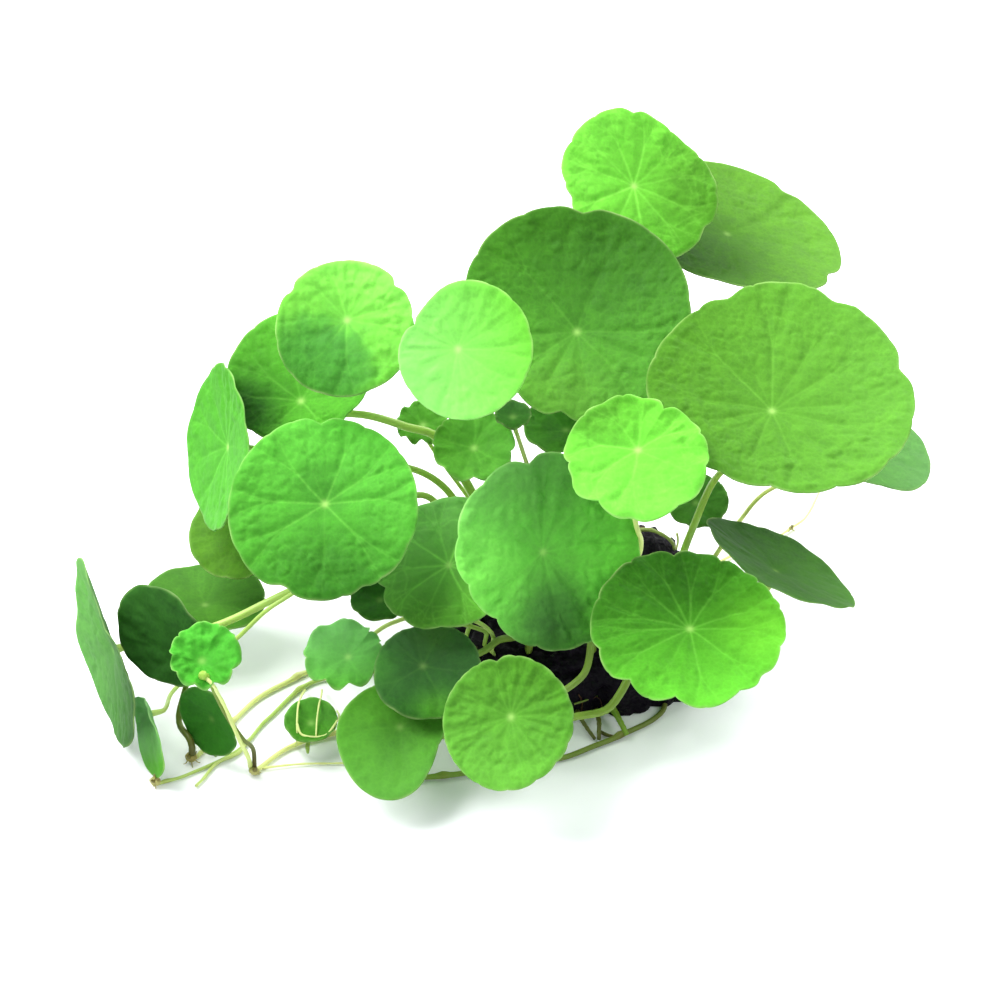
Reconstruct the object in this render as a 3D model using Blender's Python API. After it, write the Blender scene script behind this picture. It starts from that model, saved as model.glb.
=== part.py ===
"""A clump of whorled pennywort: round leaves on long stalks, a plug of soil and trailing runners.

Metres, +Z up. The origin is the middle of the soil's flat underside, and +X runs to the picture's right.
"""

import math
from collections import namedtuple

import bmesh
import bpy
from mathutils import Vector, noise

# The photograph's view: its eye stands in front of the plant and looks down on it
VIEW_ELEVATION = math.radians(38.0)
VIEW_DISTANCE = 0.583
PIXEL_SIZE = 0.00021
ORIGIN_PIXEL = (575, 660)
CENTRE_PIXEL = (500, 500)

# Leaf blades
BLADE_THICKNESS = 0.0006
CUP = 0.045
WAVE = 0.018
WAVES_ROUND = 3
WAVE_TURN = 2.4
NOTCH_DEPTH = 0.055
NOTCH_WIDTH = math.radians(6.0)
BULGE_WIDTH = math.radians(35.0)
MID_RING = 0.55
BLADE_SIDES = 20
YOUNG_SIDES = 12

# Stalks and runners
CLEARANCE = 0.0003
STALK_TIP_RADIUS = 0.00055
STALK_FOOT_RADIUS = 0.00085
YOUNG_STALK_RADIUS = 0.00045
STALK_NECK = 0.12
STALK_RISE = 0.16
STALK_STEP = 0.016
RUNNER_RADIUS = 0.00055
RUNNER_MIDDLE = 0.0006
RUNNER_STEP = 0.006
FOOT_GAP = 0.0011
STEM_ROUNDING = 1

# Soil
SOIL_RADIUS_X = 0.0262
SOIL_RADIUS_FRONT = 0.0172
SOIL_RADIUS_BACK = 0.030
SOIL_HEIGHT = 0.0165
SOIL_SQUARENESS = 3.0
SOIL_FLATNESS = 0.4
SOIL_HUMP = 0.007
SOIL_HUMP_PLACE = Vector((0.015, 0.018))
SOIL_HUMP_WIDTH = 0.013
SOIL_LUMP = 0.0016
SOIL_LUMP_SIZE = 0.009
SOIL_FINENESS = 3
ABOVE_THE_SOIL = 0.05

# Colours, as in a picture, and how rough each surface is
SOIL_COLOUR = 0x1E171F
STALK_COLOUR = 0x87A53C
RUNNER_COLOUR = 0xA6BC5C
SOIL_ROUGHNESS = 0.9
LEAF_ROUGHNESS = 0.45
STEM_ROUGHNESS = 0.4

# hub: where the stalk meets the blade in the picture; height: of the hub; across: the widest span
# roundness: seen height over seen width; lean: picture direction that the face turns to, in degrees
# shift: the outline's middle from the hub, in half widths; foot: where the stalk stands, x and y
# colour: of the blade's upper face
Leaf = namedtuple("Leaf", "number hub height across roundness lean shift foot colour")

LEAVES = (
    Leaf(1, (634, 186), 0.088, 0.0335, 0.88, 48, (0.04, -0.01), (0.001, 0.017), 0x5ADC50),
    Leaf(2, (727, 234), 0.070, 0.0465, 0.53, 67, (0.02, 0.00), (0.008, 0.015), 0x5FB43C),
    Leaf(3, (577, 332), 0.074, 0.0452, 0.94, 100, (0.00, 0.13), (-0.003, 0.010), 0x4B873C),
    Leaf(4, (772, 411), 0.073, 0.0508, 0.79, 78, (0.06, 0.15), (0.021, 0.003), 0x50AA3C),
    Leaf(5, (868, 452), 0.044, 0.0265, 0.55, 60, (0.00, 0.00), (0.0225, 0.0065), 0x50A04B),
    Leaf(6, (638, 450), 0.074, 0.0268, 0.85, 85, (-0.03, -0.20), (0.009, -0.004), 0x8CFF50),
    Leaf(7, (458, 349), 0.083, 0.0267, 0.95, 170, (0.14, -0.02), (-0.009, 0.005), 0x5AF55A),
    Leaf(8, (347, 320), 0.080, 0.0275, 0.95, 130, (-0.01, -0.15), (-0.011, 0.013), 0x82F05A),
    Leaf(9, (301, 401), 0.056, 0.0305, 0.85, 115, (-0.02, 0.32), (-0.017, 0.010), 0x50B432),
    Leaf(10, (228, 447), 0.049, 0.0340, 0.33, 178, (-0.04, 0.00), (-0.020, 0.004), 0x55C346),
    Leaf(11, (325, 504), 0.052, 0.0372, 0.95, 110, (-0.01, -0.08), (-0.015, -0.003), 0x4BBE3C),
    Leaf(12, (247, 529), 0.026, 0.0245, 0.80, 130, (0.00, 0.00), (-0.022, 0.009), 0x5FA53C),
    Leaf(13, (205, 605), 0.011, 0.0252, 0.60, 92, (0.00, 0.00), (-0.0752, -0.0262), 0x63A03E),
    Leaf(14, (184, 656), 0.026, 0.0222, 0.70, 205, (-0.48, 0.26), (-0.0776, -0.0310), 0x1E5A23),
    Leaf(17, (113, 650), 0.020, 0.0398, 0.20, 196, (0.00, 0.04), (-0.023, 0.000), 0x6EBE64),
    Leaf(21, (423, 666), 0.022, 0.0214, 0.88, 100, (0.10, -0.20), (-0.0099, -0.0125), 0x23692D),
    Leaf(22, (400, 727), 0.014, 0.0238, 0.92, 110, (-0.12, -0.26), (0.0145, -0.0145), 0x5ABE3C),
    Leaf(23, (511, 717), 0.024, 0.0262, 0.95, 170, (0.00, -0.10), (0.003, -0.013), 0x5AAA46),
    Leaf(24, (690, 629), 0.040, 0.0376, 0.79, 84, (-0.01, -0.06), (0.014, -0.011), 0x50C832),
    Leaf(25, (543, 552), 0.047, 0.0389, 0.94, 345, (0.03, 0.00), (-0.004, -0.007), 0x469632),
    Leaf(26, (449, 565), 0.036, 0.0290, 0.88, 120, (0.00, -0.02), (-0.009, -0.009), 0x41873C),
    Leaf(33, (776, 571), 0.025, 0.0346, 0.28, 60, (0.00, 0.00), (0.022, -0.005), 0x2D6E28),
)

YOUNG_LEAVES = (
    Leaf(15, (202, 661), 0.033, 0.0137, 0.92, 100, (0.10, 0.10), (-0.0648, -0.0345), 0x32DC28),
    Leaf(16, (212, 719), 0.011, 0.0155, 0.58, 214, (0.00, 0.00), (-0.073, -0.030), 0x236E32),
    Leaf(18, (150, 714), 0.0129, 0.0166, 0.24, 195, (0.30, -0.45), (-0.022, -0.008), 0x5A9664),
    Leaf(19, (348, 657), 0.020, 0.0159, 0.84, 100, (-0.11, 0.00), (-0.017, -0.0125), 0x50AF5F),
    Leaf(20, (311, 723), 0.006, 0.0108, 0.82, 95, (0.00, 0.00), (-0.0545, -0.029), 0x46A046),
    Leaf(27, (380, 600), 0.020, 0.0120, 0.80, 100, (0.00, 0.00), (-0.0185, -0.0105), 0x24662C),
    Leaf(28, (474, 448), 0.058, 0.0162, 0.86, 95, (0.00, 0.00), (-0.008, 0.000), 0x3C913C),
    Leaf(29, (423, 425), 0.0435, 0.0108, 0.80, 100, (0.00, 0.00), (-0.0165, 0.0150), 0x469C46),
    Leaf(30, (513, 417), 0.066, 0.0072, 0.75, 90, (0.00, 0.00), (-0.004, 0.003), 0x2D6E2D),
    Leaf(31, (566, 430), 0.058, 0.0170, 0.66, 90, (0.00, 0.00), (0.001, -0.001), 0x286428),
    Leaf(32, (696, 503), 0.026, 0.0135, 0.85, 80, (0.00, 0.00), (0.0215, 0.008), 0x3C8232),
)

# Rims: where each is notched, in degrees round the blade, and where it swells or flattens and how much
RIM_NOTCHES = {
    1: (95, 200, 330),
    2: (56, 340),
    3: (87, 261),
    4: (24, 66, 110),
    6: (59, 211, 265),
    7: (150,),
    8: (30, 150),
    11: (92, 293, 245),
    15: (60, 180, 300),
    19: (45, 225),
    22: (50,),
    23: (102,),
    24: (102, 320),
    25: (103, 330),
    26: (200,),
    33: (110,),
}
RIM_BULGES = {
    1: ((52, -0.16), (225, -0.05)),
    2: ((8, 0.06), (55, -0.09), (270, -0.06)),
    3: ((130, 0.06), (208, -0.16)),
    4: ((180, 0.03), (268, -0.08), (315, 0.04), (128, -0.05)),
    7: ((135, -0.12),),
    14: ((228, -0.26),),
    17: ((55, -0.25), (98, -0.25), (145, 0.05), (192, -0.27)),
    22: ((215, -0.13), (262, 0.10), (318, -0.22)),
    23: ((310, -0.05),),
    24: ((320, -0.05), (35, -0.06)),
    25: ((227, -0.12), (8, -0.05)),
}

# Places where a stalk shows between the leaves: pixel across, pixel down, height
STALK_BENDS = {
    2: ((756, 303, 0.062), (672, 420, 0.042), (618, 510, 0.026)),
    4: ((716, 478, 0.046), (692, 530, 0.031)),
    5: ((773, 488, 0.034), (734, 528, 0.022), (706, 566, 0.016)),
    6: ((634, 512, 0.0534), (637, 528, 0.0495), (641, 541, 0.0446), (638, 556, 0.0381)),
    7: ((494, 423, 0.056),),
    8: ((385, 343, 0.071), (425, 372, 0.063), (462, 410, 0.052), (486, 455, 0.040)),
    9: ((365, 415, 0.052), (407, 427, 0.049), (437, 438, 0.046)),
    10: ((409, 468, 0.042), (451, 495, 0.036)),
    11: ((418, 495, 0.040), (435, 502, 0.037)),
    14: ((183, 697, 0.011), (179, 722, 0.006)),
    15: ((224, 711, 0.019), (242, 738, 0.013)),
    17: ((150, 644, 0.014), (221, 624, 0.019), (289, 592, 0.025), (350, 568, 0.027)),
    18: ((174, 690, 0.009), (200, 668, 0.011), (235, 640, 0.017), (276, 604, 0.026), (340, 576, 0.029)),
    19: ((372, 636, 0.021), (392, 623, 0.022), (432, 613, 0.0215), (468, 618, 0.0215)),
    21: ((484, 651, 0.0175), (499, 640, 0.0175), (515, 637, 0.0165)),
    22: ((455, 735, 0.008), (579, 716, 0.012), (611, 706, 0.013)),
    23: ((568, 688, 0.019), (586, 670, 0.019)),
    29: ((431, 446, 0.037),),
    30: ((519, 440, 0.058),),
}

# How much thicker or thinner than usual some stalks are
STALK_GIRTHS = {5: 0.7, 6: 0.75, 9: 1.3, 17: 1.2, 22: 1.1}

# Runners along the ground, each from inside the soil outwards: pixel across, pixel down
RUNNERS = {
    "runner_left": ((470, 668), (321, 679), (267, 719), (239, 749), (187, 774), (157, 783)),
    "runner_back_left": ((470, 655), (314, 670), (289, 681), (258, 698), (232, 722), (196, 757)),
    "runner_middle": ((500, 698), (390, 722), (333, 733), (289, 747), (254, 772)),
    "runner_front": ((664, 694), (661, 713), (619, 736), (594, 746), (561, 758), (450, 775), (412, 778)),
}


def view_axes():
    """Right, up and towards the eye, for the photograph's view."""
    right = Vector((1.0, 0.0, 0.0))
    towards = Vector((0.0, -math.cos(VIEW_ELEVATION), math.sin(VIEW_ELEVATION)))
    return right, towards.cross(right), towards


def on_picture_plane(pixel):
    """The point of a pixel on the plane through the origin that faces the eye."""
    right, up, _ = view_axes()
    across = (pixel[0] - ORIGIN_PIXEL[0]) * PIXEL_SIZE
    rise = (ORIGIN_PIXEL[1] - pixel[1]) * PIXEL_SIZE
    return right * across + up * rise


EYE = on_picture_plane(CENTRE_PIXEL) + view_axes()[2] * VIEW_DISTANCE


def on_sight_line(pixel, height):
    """The point at a height that the photograph shows at a pixel."""
    sight = on_picture_plane(pixel) - EYE
    return EYE + sight * ((height - EYE.z) / sight.z)


def blade_axes(leaf, hub):
    """Along the blade to the picture's right, along it upwards, and out of its face."""
    towards = (EYE - hub).normalized()
    right = Vector((1.0, 0.0, 0.0))
    right = (right - towards * right.dot(towards)).normalized()
    up = towards.cross(right)
    lean = math.radians(leaf.lean)
    slant = math.sqrt(1.0 - leaf.roundness**2)
    facing = towards * leaf.roundness + (right * math.cos(lean) + up * math.sin(lean)) * slant
    along = (right - facing * right.dot(facing)).normalized()
    return along, facing.cross(along), facing


def reach(leaf, angle):
    """From hub to rim: a circle round the shifted middle, with its notches cut in."""
    shift_x, shift_y = leaf.shift
    forward = shift_x * math.cos(angle) + shift_y * math.sin(angle)
    sideways = shift_y * math.cos(angle) - shift_x * math.sin(angle)
    span = forward + math.sqrt(1.0 - sideways**2)
    for notch in RIM_NOTCHES.get(leaf.number, ()):
        turn = math.remainder(angle - math.radians(notch), math.tau)
        span -= NOTCH_DEPTH * math.exp(-((turn / NOTCH_WIDTH) ** 2))
    for direction, swell in RIM_BULGES.get(leaf.number, ()):
        turn = math.remainder(angle - math.radians(direction), math.tau)
        span += swell * math.exp(-((turn / BULGE_WIDTH) ** 2))
    return leaf.across / 2 * span


def lift(leaf, angle, share):
    """How far the blade stands off its hub's plane: a shallow dish with a slow wave round it."""
    wave = WAVE * math.sin(WAVES_ROUND * angle + WAVE_TURN * leaf.number)
    return leaf.across * (CUP + wave) * share**2


def blade_point(leaf, hub, axes, angle, share):
    """A point of the blade's upper face, at a share of the way from hub to rim."""
    along, upward, facing = axes
    outward = along * math.cos(angle) + upward * math.sin(angle)
    return hub + outward * reach(leaf, angle) * share + facing * lift(leaf, angle, share)


def smooth_route(points, longest):
    """Points along a curve through the given ones, none further apart than the longest step."""
    ends = [points[0] * 2 - points[1]] + list(points) + [points[-1] * 2 - points[-2]]
    route = [points[0]]
    for before, start, end, after in zip(ends, ends[1:], ends[2:], ends[3:]):
        span = (end - start).length
        leave = (end - before).normalized() * span
        arrive = (after - start).normalized() * span
        steps = math.ceil(span / longest)
        for step in range(1, steps + 1):
            t = step / steps
            route.append(
                start * (2 * t**3 - 3 * t**2 + 1)
                + leave * (t**3 - 2 * t**2 + t)
                + end * (3 * t**2 - 2 * t**3)
                + arrive * (t**3 - t**2)
            )
    return route


def to_linear(colour):
    """A picture colour as the three light values that a material takes."""
    shares = [(colour >> shift & 255) / 255 for shift in (16, 8, 0)]
    return [s / 12.92 if s <= 0.04045 else ((s + 0.055) / 1.055) ** 2.4 for s in shares]


def plain_material(name, colour, roughness):
    """A Principled material with one colour."""
    material = bpy.data.materials.new(name)
    material.use_nodes = True
    shader = material.node_tree.nodes["Principled BSDF"]
    shader.inputs["Base Color"].default_value = (*to_linear(colour), 1.0)
    shader.inputs["Roughness"].default_value = roughness
    return material


def add_object(name, data, material, place=(0.0, 0.0, 0.0)):
    """An object in the scene, with its own material."""
    data.materials.append(material)
    thing = bpy.data.objects.new(name, data)
    thing.location = place
    bpy.context.scene.collection.objects.link(thing)
    return thing


def stalk_route(leaf, hub, facing, foot):
    """From just under the blade, down its neck and past its bends, to the foot."""
    top = hub - facing * (BLADE_THICKNESS + CLEARANCE)
    bends = [on_sight_line(bend[:2], bend[2]) for bend in STALK_BENDS.get(leaf.number, ())]
    length = (top - foot).length
    neck = top - facing * leaf.across * STALK_NECK
    rise = foot + Vector((0.0, 0.0, length * STALK_RISE))
    return smooth_route([top, neck] + bends + [rise, foot], STALK_STEP)


def stalk_foot(soil, leaf):
    """A stalk's lower end, clear of the soil or of the runner that it stands on."""
    x, y = leaf.foot
    found, place, normal, _ = soil.ray_cast(Vector((x, y, ABOVE_THE_SOIL)), Vector((0.0, 0.0, -1.0)))
    if found:
        return place + normal * FOOT_GAP
    return Vector((x, y, 2 * RUNNER_RADIUS + 2 * CLEARANCE))


def make_soil():
    """A low lumpy plug of wet soil with a flat underside, humped at the back right."""
    form = bmesh.new()
    bmesh.ops.create_icosphere(form, subdivisions=SOIL_FINENESS, radius=1.0)
    for vert in form.verts:
        radius_y = SOIL_RADIUS_FRONT if vert.co.y < 0.0 else SOIL_RADIUS_BACK
        across, along = abs(vert.co.x), abs(vert.co.y)
        square = (across**SOIL_SQUARENESS + along**SOIL_SQUARENESS) ** (1 / SOIL_SQUARENESS)
        if square > 0.0:
            vert.co.xy *= math.hypot(across, along) / square
        spot = Vector((vert.co.x * SOIL_RADIUS_X, vert.co.y * radius_y, vert.co.z * SOIL_HEIGHT))
        lump = noise.noise(spot / SOIL_LUMP_SIZE) * SOIL_LUMP
        hump = SOIL_HUMP * math.exp(-(((spot.xy - SOIL_HUMP_PLACE).length / SOIL_HUMP_WIDTH) ** 2))
        rise = math.copysign(abs(vert.co.z) ** SOIL_FLATNESS, vert.co.z)
        vert.co.x *= SOIL_RADIUS_X + lump
        vert.co.y *= radius_y + lump
        vert.co.z = rise * (SOIL_HEIGHT + lump + hump)
    everything = form.verts[:] + form.edges[:] + form.faces[:]
    ground = {"plane_co": (0.0, 0.0, 0.0), "plane_no": (0.0, 0.0, -1.0)}
    cut = bmesh.ops.bisect_plane(form, geom=everything, clear_outer=True, **ground)
    rim = [item for item in cut["geom_cut"] if isinstance(item, bmesh.types.BMEdge)]
    bmesh.ops.edgenet_fill(form, edges=rim)
    bmesh.ops.recalc_face_normals(form, faces=form.faces[:])
    mesh = bpy.data.meshes.new("soil_clump")
    form.to_mesh(mesh)
    form.free()
    return add_object("soil_clump", mesh, plain_material("wet_soil", SOIL_COLOUR, SOIL_ROUGHNESS))


def make_blade(leaf, material):
    """One thin round blade: a sheet of rings about its hub, thickened downwards."""
    hub = on_sight_line(leaf.hub, leaf.height)
    axes = blade_axes(leaf, hub)
    angles = [math.tau * side / BLADE_SIDES for side in range(BLADE_SIDES)]
    points = [hub]
    points += [blade_point(leaf, hub, axes, angle, MID_RING) for angle in angles]
    points += [blade_point(leaf, hub, axes, angle, 1.0) for angle in angles]
    faces = []
    for side in range(BLADE_SIDES):
        inner, inner_next = 1 + side, 1 + (side + 1) % BLADE_SIDES
        faces.append((0, inner, inner_next))
        faces.append((inner, inner + BLADE_SIDES, inner_next + BLADE_SIDES, inner_next))
    name = f"leaf_{leaf.number:02d}"
    mesh = bpy.data.meshes.new(name)
    mesh.from_pydata([point - hub for point in points], [], faces)
    blade = add_object(name, mesh, material, hub)
    thickness = blade.modifiers.new("thickness", "SOLIDIFY")
    thickness.thickness = BLADE_THICKNESS
    thickness.offset = -1.0
    return hub, axes[2]


def make_tube(name, route, radii, material):
    """A round stem along a route, with closed ends."""
    curve = bpy.data.curves.new(name, "CURVE")
    curve.dimensions = "3D"
    curve.bevel_depth = 1.0
    curve.bevel_resolution = STEM_ROUNDING
    curve.use_fill_caps = True
    spline = curve.splines.new("POLY")
    spline.points.add(len(route) - 1)
    for point, place, radius in zip(spline.points, route, radii):
        point.co = (*(place - route[0]), 1.0)
        point.radius = radius
    return add_object(name, curve, material, route[0])


def make_stalk(leaf, hub, facing, soil, material):
    """A leaf's long stalk, a little thicker at the foot."""
    foot = stalk_foot(soil, leaf)
    route = stalk_route(leaf, hub, facing, foot)
    girth = STALK_GIRTHS.get(leaf.number, 1.0)
    growth = (STALK_FOOT_RADIUS - STALK_TIP_RADIUS) / (len(route) - 1)
    radii = [(STALK_TIP_RADIUS + growth * step) * girth for step in range(len(route))]
    make_tube(f"stalk_{leaf.number:02d}", route, radii, material)


def ring_across(centre, direction, radius, start):
    """Points of a circle square to a direction, the first one on the side of a start direction."""
    side = (start - direction * start.dot(direction)).normalized()
    other = direction.cross(side)
    angles = [math.tau * step / YOUNG_SIDES for step in range(YOUNG_SIDES)]
    return [centre + (side * math.cos(a) + other * math.sin(a)) * radius for a in angles]


def make_young_leaf(leaf, soil, material):
    """A small leaf in one piece: blade above, then its underside drawn down into the stalk."""
    hub = on_sight_line(leaf.hub, leaf.height)
    axes = blade_axes(leaf, hub)
    along, _, facing = axes
    below = facing * BLADE_THICKNESS
    angles = [math.tau * side / YOUNG_SIDES for side in range(YOUNG_SIDES)]
    upper = [blade_point(leaf, hub, axes, angle, MID_RING) for angle in angles]
    rim = [blade_point(leaf, hub, axes, angle, 1.0) for angle in angles]
    rings = [upper, rim, [point - below for point in rim], [point - below for point in upper]]
    route = stalk_route(leaf, hub, facing, stalk_foot(soil, leaf))
    radius = YOUNG_STALK_RADIUS * STALK_GIRTHS.get(leaf.number, 1.0)
    for step, centre in enumerate(route):
        ahead = route[min(step + 1, len(route) - 1)] - route[max(step - 1, 0)]
        direction = facing if step == 0 else -ahead.normalized()
        rings.append(ring_across(centre, direction, radius, along))
    points = [hub] + [point for ring in rings for point in ring]
    faces = [(0, 1 + side, 1 + (side + 1) % YOUNG_SIDES) for side in range(YOUNG_SIDES)]
    for ring in range(len(rings) - 1):
        first = 1 + ring * YOUNG_SIDES
        for side in range(YOUNG_SIDES):
            a, b = first + side, first + (side + 1) % YOUNG_SIDES
            faces.append((a, a + YOUNG_SIDES, b + YOUNG_SIDES, b))
    last = 1 + (len(rings) - 1) * YOUNG_SIDES
    faces.append(tuple(range(last, last + YOUNG_SIDES))[::-1])
    name = f"young_leaf_{leaf.number:02d}"
    mesh = bpy.data.meshes.new(name)
    mesh.from_pydata([point - hub for point in points], [], faces)
    add_object(name, mesh, material, hub)


def make_runner(name, pixels, soil, material):
    """A creeping stem that lies along the ground, from just outside the soil."""
    inside, *places = [on_sight_line(pixel, RUNNER_MIDDLE) for pixel in pixels]
    outwards = (places[0] - inside).normalized()
    _, start, _, _ = soil.ray_cast(places[0], -outwards)
    route = smooth_route([start + outwards * FOOT_GAP] + places, RUNNER_STEP)
    make_tube(name, route, [RUNNER_RADIUS] * len(route), material)


for old in list(bpy.data.objects):
    bpy.data.objects.remove(old, do_unlink=True)

soil_clump = make_soil()
bpy.context.view_layer.update()

for row in LEAVES:
    blade_green = plain_material(f"blade_green_{row.number:02d}", row.colour, LEAF_ROUGHNESS)
    stalk_green = plain_material(f"stalk_green_{row.number:02d}", STALK_COLOUR, STEM_ROUGHNESS)
    blade_hub, blade_facing = make_blade(row, blade_green)
    make_stalk(row, blade_hub, blade_facing, soil_clump, stalk_green)

for row in YOUNG_LEAVES:
    young_green = plain_material(f"young_green_{row.number:02d}", row.colour, LEAF_ROUGHNESS)
    make_young_leaf(row, soil_clump, young_green)

for runner, runner_pixels in RUNNERS.items():
    runner_green = plain_material(f"{runner}_green", RUNNER_COLOUR, STEM_ROUGHNESS)
    make_runner(runner, runner_pixels, soil_clump, runner_green)
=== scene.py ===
"""A clump of whorled pennywort: the looks of its soil, creeping stems, leaf stalks and round leaves.

Metres, +Z up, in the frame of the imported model: the origin is the middle of the soil's flat underside.
"""

import math
from collections import namedtuple

import bmesh
import bpy
import numpy as np
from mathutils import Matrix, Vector, noise
from mathutils.bvhtree import BVHTree


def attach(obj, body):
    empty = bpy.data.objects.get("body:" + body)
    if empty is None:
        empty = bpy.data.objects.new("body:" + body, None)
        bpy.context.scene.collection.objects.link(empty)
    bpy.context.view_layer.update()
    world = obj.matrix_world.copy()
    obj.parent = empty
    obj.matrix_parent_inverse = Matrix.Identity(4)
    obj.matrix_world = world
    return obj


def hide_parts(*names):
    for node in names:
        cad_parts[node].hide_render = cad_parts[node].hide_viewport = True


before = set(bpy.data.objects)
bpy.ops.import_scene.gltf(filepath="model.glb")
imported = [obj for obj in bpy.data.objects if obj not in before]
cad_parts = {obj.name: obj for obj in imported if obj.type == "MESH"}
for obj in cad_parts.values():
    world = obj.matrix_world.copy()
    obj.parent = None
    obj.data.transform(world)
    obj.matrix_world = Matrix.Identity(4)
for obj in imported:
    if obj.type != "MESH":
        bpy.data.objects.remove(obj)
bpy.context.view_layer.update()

# Soil plug
# A lump of black, wet, peaty soil that the whole clump grows from, crumbly all over and bound by fine roots.
# It was pressed in a nursery tray, so it is flat underneath; the water in it darkens it and makes it glint.
SOIL_RADIUS_X = 0.0262
SOIL_RADIUS_FRONT = 0.0172
SOIL_RADIUS_BACK = 0.030
SOIL_HEIGHT = 0.0165
SOIL_SQUARENESS = 3.0
SOIL_FLATNESS = 0.4
SOIL_HUMP = 0.007
SOIL_HUMP_PLACE = Vector((0.015, 0.018))
SOIL_HUMP_WIDTH = 0.013
SOIL_LUMP = 0.0016
SOIL_LUMP_SIZE = 0.009
SOIL_FINENESS = 6
CRUMB_SIZE = 0.0022
CRUMB_HEIGHT = 0.0017
CRUMB_LEVEL = 0.35
CRUMB_ROUGHENING = 0.5
CRUMB_OCTAVES = 3
GRAIN_SIZE = 0.0007
GRAIN_SPAN = (0.35, 0.7)
GRAIN_HEIGHT = 0.0003
GRAIN_STRENGTH = 0.7
PEAT_BLACK = 0x05020A
PEAT_BROWN = 0x140C18
PEAT_SHADE_SPAN = (0.42, 0.78)
PEAT_ROUGHNESS = (0.45, 0.95)
PEAT_SHEEN = 0.12


def to_linear(colour):
    """A picture colour as the light values that a socket takes."""
    shares = [(colour >> shift & 255) / 255 for shift in (16, 8, 0)]
    return (*[s / 12.92 if s <= 0.04045 else ((s + 0.055) / 1.055) ** 2.4 for s in shares], 1.0)


def add_node(tree, kind, sockets=None, **settings):
    """A node with its settings; each socket takes a value, or another node's output."""
    node = tree.nodes.new(kind)
    for name, value in settings.items():
        setattr(node, name, value)
    for socket, source in (sockets or {}).items():
        if isinstance(source, bpy.types.NodeSocket):
            tree.links.new(source, node.inputs[socket])
        else:
            node.inputs[socket].default_value = source
    return node


def new_material(name):
    """An empty node material, its tree, its output and its surface coordinates in metres."""
    material = bpy.data.materials.new(name)
    material.use_nodes = True
    tree = material.node_tree
    tree.nodes.clear()
    output = tree.nodes.new("ShaderNodeOutputMaterial")
    return material, tree, output, add_node(tree, "ShaderNodeTexCoord").outputs["Object"]


def grain(tree, place, size, detail):
    """Soft random variation whose features have a real size."""
    noise_node = add_node(tree, "ShaderNodeTexNoise", {"Vector": place, "Scale": 1 / size, "Detail": detail})
    return noise_node.outputs["Fac"]


def fitted(tree, value, seen, wanted):
    """A value carried from the span in which it varies to the span that is wanted."""
    spans = {"From Min": seen[0], "From Max": seen[1], "To Min": wanted[0], "To Max": wanted[1]}
    return add_node(tree, "ShaderNodeMapRange", {"Value": value, **spans}).outputs["Result"]


def relief_normal(tree, height, strength, depth, over=None):
    """A surface direction raised by a height pattern, over another such direction where one is given."""
    sockets = {"Height": height, "Strength": strength, "Distance": depth}
    if over is not None:
        sockets["Normal"] = over
    return add_node(tree, "ShaderNodeBump", sockets).outputs["Normal"]


def add_piece(name, points, faces, materials, nodes=(), marks=None, face_materials=None):
    """A smooth mesh piece on the clump's one body, with its marks for the materials on its points."""
    mesh = bpy.data.meshes.new(name)
    mesh.from_pydata([tuple(point) for point in points], [], faces)
    for material in materials:
        mesh.materials.append(material)
    if face_materials is not None:
        mesh.polygons.foreach_set("material_index", face_materials)
    mesh.polygons.foreach_set("use_smooth", [True] * len(mesh.polygons))
    for mark, values in (marks or {}).items():
        mesh.attributes.new(mark, "FLOAT", "POINT").data.foreach_set("value", np.asarray(values, dtype=float))
    piece = bpy.data.objects.new(name, mesh)
    bpy.context.scene.collection.objects.link(piece)
    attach(piece, "root")
    if nodes:
        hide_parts(*nodes)
    return piece


# Wet peat: near black with a violet cast, brown where a crumb has dried, rough with small wet glints
wet_peat, tree, output, place = new_material("wet_peat")
grains = grain(tree, place, GRAIN_SIZE, 3.0)
peat_shade = add_node(tree, "ShaderNodeValToRGB", {"Fac": grain(tree, place, CRUMB_SIZE, 5.0)})
for stop, position, colour in zip(peat_shade.color_ramp.elements, PEAT_SHADE_SPAN, (PEAT_BLACK, PEAT_BROWN)):
    stop.position = position
    stop.color = to_linear(colour)
peat = add_node(
    tree,
    "ShaderNodeBsdfPrincipled",
    {
        "Base Color": peat_shade.outputs["Color"],
        "Roughness": fitted(tree, grains, GRAIN_SPAN, PEAT_ROUGHNESS),
        "Normal": relief_normal(tree, grains, GRAIN_STRENGTH, GRAIN_HEIGHT),
        "Specular IOR Level": PEAT_SHEEN,
    },
)
tree.links.new(peat.outputs["BSDF"], output.inputs["Surface"])

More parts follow.
